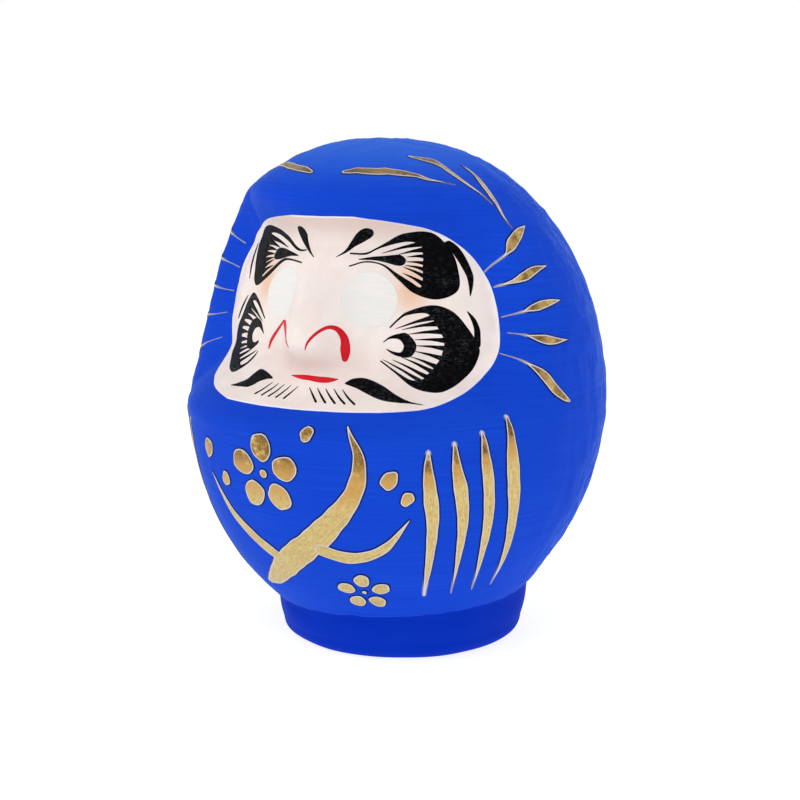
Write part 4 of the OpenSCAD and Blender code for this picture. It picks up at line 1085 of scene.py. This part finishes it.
def build_red_marks(red):
    right = [stroke_grid(rows, 0.25, 6, 0.02) for rows in NOSTRIL_RIGHT]
    marks = (("nostril_left", "nostril_red_left", [stroke_grid(NOSTRIL_LEFT, 0.25, 10, 0.02)], 0.3),
             ("nostril_right", "nostril_red_right", right, 0.25),
             ("lips", "lips_red", [stroke_grid(LIPS, 0.25, 8, 0.06, 5)], 0.3))
    for node, name, grids, shoulder in marks:
        finish_piece(film(grids, GROUND_T, INK_T, shoulder, name), red, node)


def build_face_marks():
    ink, red, white = ink_paint(), red_paint(), eye_paint()
    for side, mirrored in SIDES:
        build_eye(side, mirrored, white)
        build_ink_marks(side, mirrored, ink)
    build_red_marks(red)


def rise_fall(t, start, top_start, top_end, end):
    """0 before start and after end, 1 between the two tops."""
    return ease((t - start) / (top_start - start)) * ease((end - t) / (end - top_end))


def stripe_tone(t, z, half):
    """A blunt pale tip, a dark head that is a painted reflection, an orange band, and thin pale paint at
    the foot.
    """
    dark = 0.95 * rise_fall(t, 0.0, 0.03, 0.10, 0.16)
    warm = 0.8 * rise_fall(t, 0.08, 0.13, 0.16, 0.28)
    pale = 0.85 * fade(t, 0.80, 0.20) + 0.9 * ease((0.035 - t) / 0.02)
    return dark, warm, pale


def cheek_tone(t, z, half):
    """A thin pale stem, a bright band where the leaf begins, and a brown leaf; the brown is a painted
    reflection, left out of the bright band.
    """
    stem = ease((0.5 - half) / 0.25) * ease((0.62 - t) / 0.1)
    bright = np.exp(-((t - 0.60) / 0.07) ** 2)
    return 0.85 * (1.0 - bright) * (1.0 - stem), 0.4 * (1.0 - stem), 0.9 * stem


def head_tone(t, z, half):
    """Mostly dark as a painted reflection, with two bright bands of painted highlight and a thin pale tip.
    """
    return 0.68 + 0.25 * np.cos(9.0 * t), 0.15 + 0.0 * t, 0.08 + 0.4 * fade(t, 0.8, 0.2)


def sprig_tone(t, z, half):
    """Dark and strong towards the top, as a painted reflection."""
    dark = 0.9 * rise_fall(z, 43.0, 48.0, 60.0, 70.0)
    warm = 0.7 * rise_fall(z, 36.0, 42.0, 45.0, 50.0)
    return dark, warm, 0.0 * t


def gold_piece(grids, name, node, material, tone, mirrored=False):
    obj = film(grids, 0.0, GOLD_T, 0.55, name, mirrored, tone)
    finish_piece(obj, material, node)


def flower_grids(azimuth, z, ring_r, seed):
    """Five petals round a small centre."""
    ku, kv = scales_at(azimuth, z)
    grids = []
    for k in range(5):
        turn = 90.0 + 72.0 * k
        a = azimuth + ring_r * math.cos(math.radians(turn)) / ku
        b = z + ring_r * math.sin(math.radians(turn)) / kv
        grids.append(dab_grid(a, b, ring_r * 0.56, ring_r * 0.5, turn, wobble=0.03, seed=seed + k))
    grids.append(dab_grid(azimuth, z, ring_r * 0.2, ring_r * 0.2, steps=12, lanes=8))
    return grids


def build_gold():
    gold = gold_paint()
    for side, mirrored in SIDES:
        front = HEAD_FRONT_RIGHT if mirrored else HEAD_FRONT_LEFT
        leaves = CHEEK_STROKES_RIGHT if mirrored else CHEEK_STROKES_LEFT
        shift = BELLY_SHIFT_RIGHT if mirrored else 0.0
        stripes = [[(a + shift, z, w) for a, z, w in rows] for rows in BELLY_STRIPES]
        groups = (("head", [front] + HEAD_STROKES, 0.35, 12, 0.03, 100, head_tone),
                  ("cheek", leaves, 0.3, 12, 0.03, 120, cheek_tone),
                  ("belly", stripes, 0.4, 14, 0.035, 140, stripe_tone))
        for place, strokes, spacing, lanes, waver, seed, tone in groups:
            grids = [stroke_grid(rows, spacing, lanes, waver, seed + i) for i, rows in enumerate(strokes)]
            gold_piece(grids, f"{place}_gold_{side}", f"gold_{place}_{side}", gold, tone, mirrored)

    grids = [stroke_grid(rows, 0.4, 18, 0.04, 160 + i) for i, rows in enumerate(SPRIG_BRANCHES)]
    for i, (azimuth, z, ring_r) in enumerate(SPRIG_FLOWERS):
        grids += flower_grids(azimuth, z, ring_r, 180 + 10 * i)
    for i, (azimuth, z, size) in enumerate(SPRIG_BUDS):
        grids.append(dab_grid(azimuth, z, size, size * 0.8, 60.0, wobble=0.05, seed=200 + i))
    gold_piece(grids, "sprig_gold", "belly_ornament", gold, sprig_tone)


# ---- studio

CEILING = (0.26, 0.25, 0.24)
HORIZON, ZENITH = 0.16, 0.62
FLOOR_R, FLOOR_CORNERS = 0.95, 96
FLOOR_GLOW = 1.9
FLOOR_WHITE = 0.42
# Height that the lights stand about, and the height that they point at
LIGHT_BASE, LIGHT_AIM = 0.05, 0.055
# Azimuth and elevation in degrees, distance and size in metres, and power in watts
SOFTBOXES = {
    "key_light": (0.0, 58.0, 1.1, (0.9, 0.7), 5.3),
    "side_light": (-80.0, 35.0, 1.2, (0.7, 0.9), 1.2),
    "back_light": (150.0, 50.0, 1.1, (0.6, 0.8), 3.0),
}
CAMERA_AZIMUTH, CAMERA_DISTANCE, CAMERA_H = 30.0, 0.400, 0.1277
CAMERA_AIM = 0.052
CAMERA_LENS = 82.67
CAMERA_SHIFT = (0.0006, -0.0025)


def build_floor():
    """A plain white table that ends before the horizon."""
    angles = [2 * math.pi * i / FLOOR_CORNERS for i in range(FLOOR_CORNERS)]
    mesh = bpy.data.meshes.new("studio_floor")
    ring = [(FLOOR_R * math.cos(t), FLOOR_R * math.sin(t), 0.0) for t in angles]
    mesh.from_pydata(ring, [], [tuple(range(FLOOR_CORNERS))])
    floor = bpy.data.objects.new("studio_floor", mesh)
    bpy.context.scene.collection.objects.link(floor)
    m = Nodes("pale_floor")
    grain = m.noise(m.place((0.02, 0.02, 0.02)), 1.0, 2.0)
    white = m.ramp(grain, [(0.3, (FLOOR_WHITE,) * 3), (0.7, (FLOOR_WHITE + 0.02,) * 3)])
    mesh.materials.append(m.finish(white, 0.9, Specular_IOR_Level=0.0, Emission_Color=white,
                                   Emission_Strength=FLOOR_GLOW))


def build_world():
    """White all round at table height, darker towards the ceiling."""
    world = bpy.data.worlds.new("studio_world")
    world.use_nodes = True
    tree = world.node_tree
    where = tree.nodes.new("ShaderNodeTexCoord")
    split = tree.nodes.new("ShaderNodeSeparateXYZ")
    ramp = tree.nodes.new("ShaderNodeValToRGB")
    tree.links.new(where.outputs["Generated"], split.inputs[0])
    tree.links.new(split.outputs[2], ramp.inputs[0])
    tree.links.new(ramp.outputs[0], tree.nodes["Background"].inputs[0])
    for element, position, color in zip(ramp.color_ramp.elements, (HORIZON, ZENITH), ((1.0,) * 3, CEILING)):
        element.position = position
        element.color = (*color, 1.0)
    tree.nodes["Background"].inputs[1].default_value = 1.0
    bpy.context.scene.world = world


def aim(obj, target):
    """Turns a camera or a light towards a point."""
    forward = np.array(target) - np.array(obj.location)
    forward /= np.linalg.norm(forward)
    right = np.cross(forward, [0.0, 0.0, 1.0])
    right /= np.linalg.norm(right)
    up = np.cross(right, forward)
    turn = Matrix((tuple(right), tuple(up), tuple(-forward))).transposed()
    obj.rotation_euler = turn.to_euler()


def build_lights():
    for name, (azimuth, elevation, distance, size, power) in SOFTBOXES.items():
        light = bpy.data.lights.new(name, "AREA")
        light.shape = "RECTANGLE"
        light.size, light.size_y = size
        light.energy = power
        a, e = math.radians(azimuth), math.radians(elevation)
        place = np.array([math.sin(a) * math.cos(e), -math.cos(a) * math.cos(e), math.sin(e)]) * distance
        obj = bpy.data.objects.new(name, light)
        obj.location = tuple(place + np.array([0, 0, LIGHT_BASE]))
        aim(obj, (0.0, 0.0, LIGHT_AIM))
        bpy.context.scene.collection.objects.link(obj)


def build_camera():
    """The view from the doll's left front, a little above it."""
    azimuth = math.radians(CAMERA_AZIMUTH)
    body_x = -SIDE_LEAN * MM
    data = bpy.data.cameras.new("view_camera")
    data.sensor_width = 36.0
    data.lens = CAMERA_LENS
    data.shift_x, data.shift_y = CAMERA_SHIFT
    data.clip_start, data.clip_end = 0.01, 50.0
    camera = bpy.data.objects.new("view_camera", data)
    aside, back = CAMERA_DISTANCE * math.sin(azimuth), CAMERA_DISTANCE * math.cos(azimuth)
    camera.location = (body_x + aside, -back, CAMERA_H)
    aim(camera, (body_x, 0.0, CAMERA_AIM))
    bpy.context.scene.collection.objects.link(camera)
    bpy.context.scene.camera = camera


bpy.context.scene.view_settings.view_transform = "Standard"
build_camera()
build_floor()
build_world()
build_lights()
build_shell()
build_foot()
build_card()
build_glue()
build_face()
build_face_marks()
build_gold()
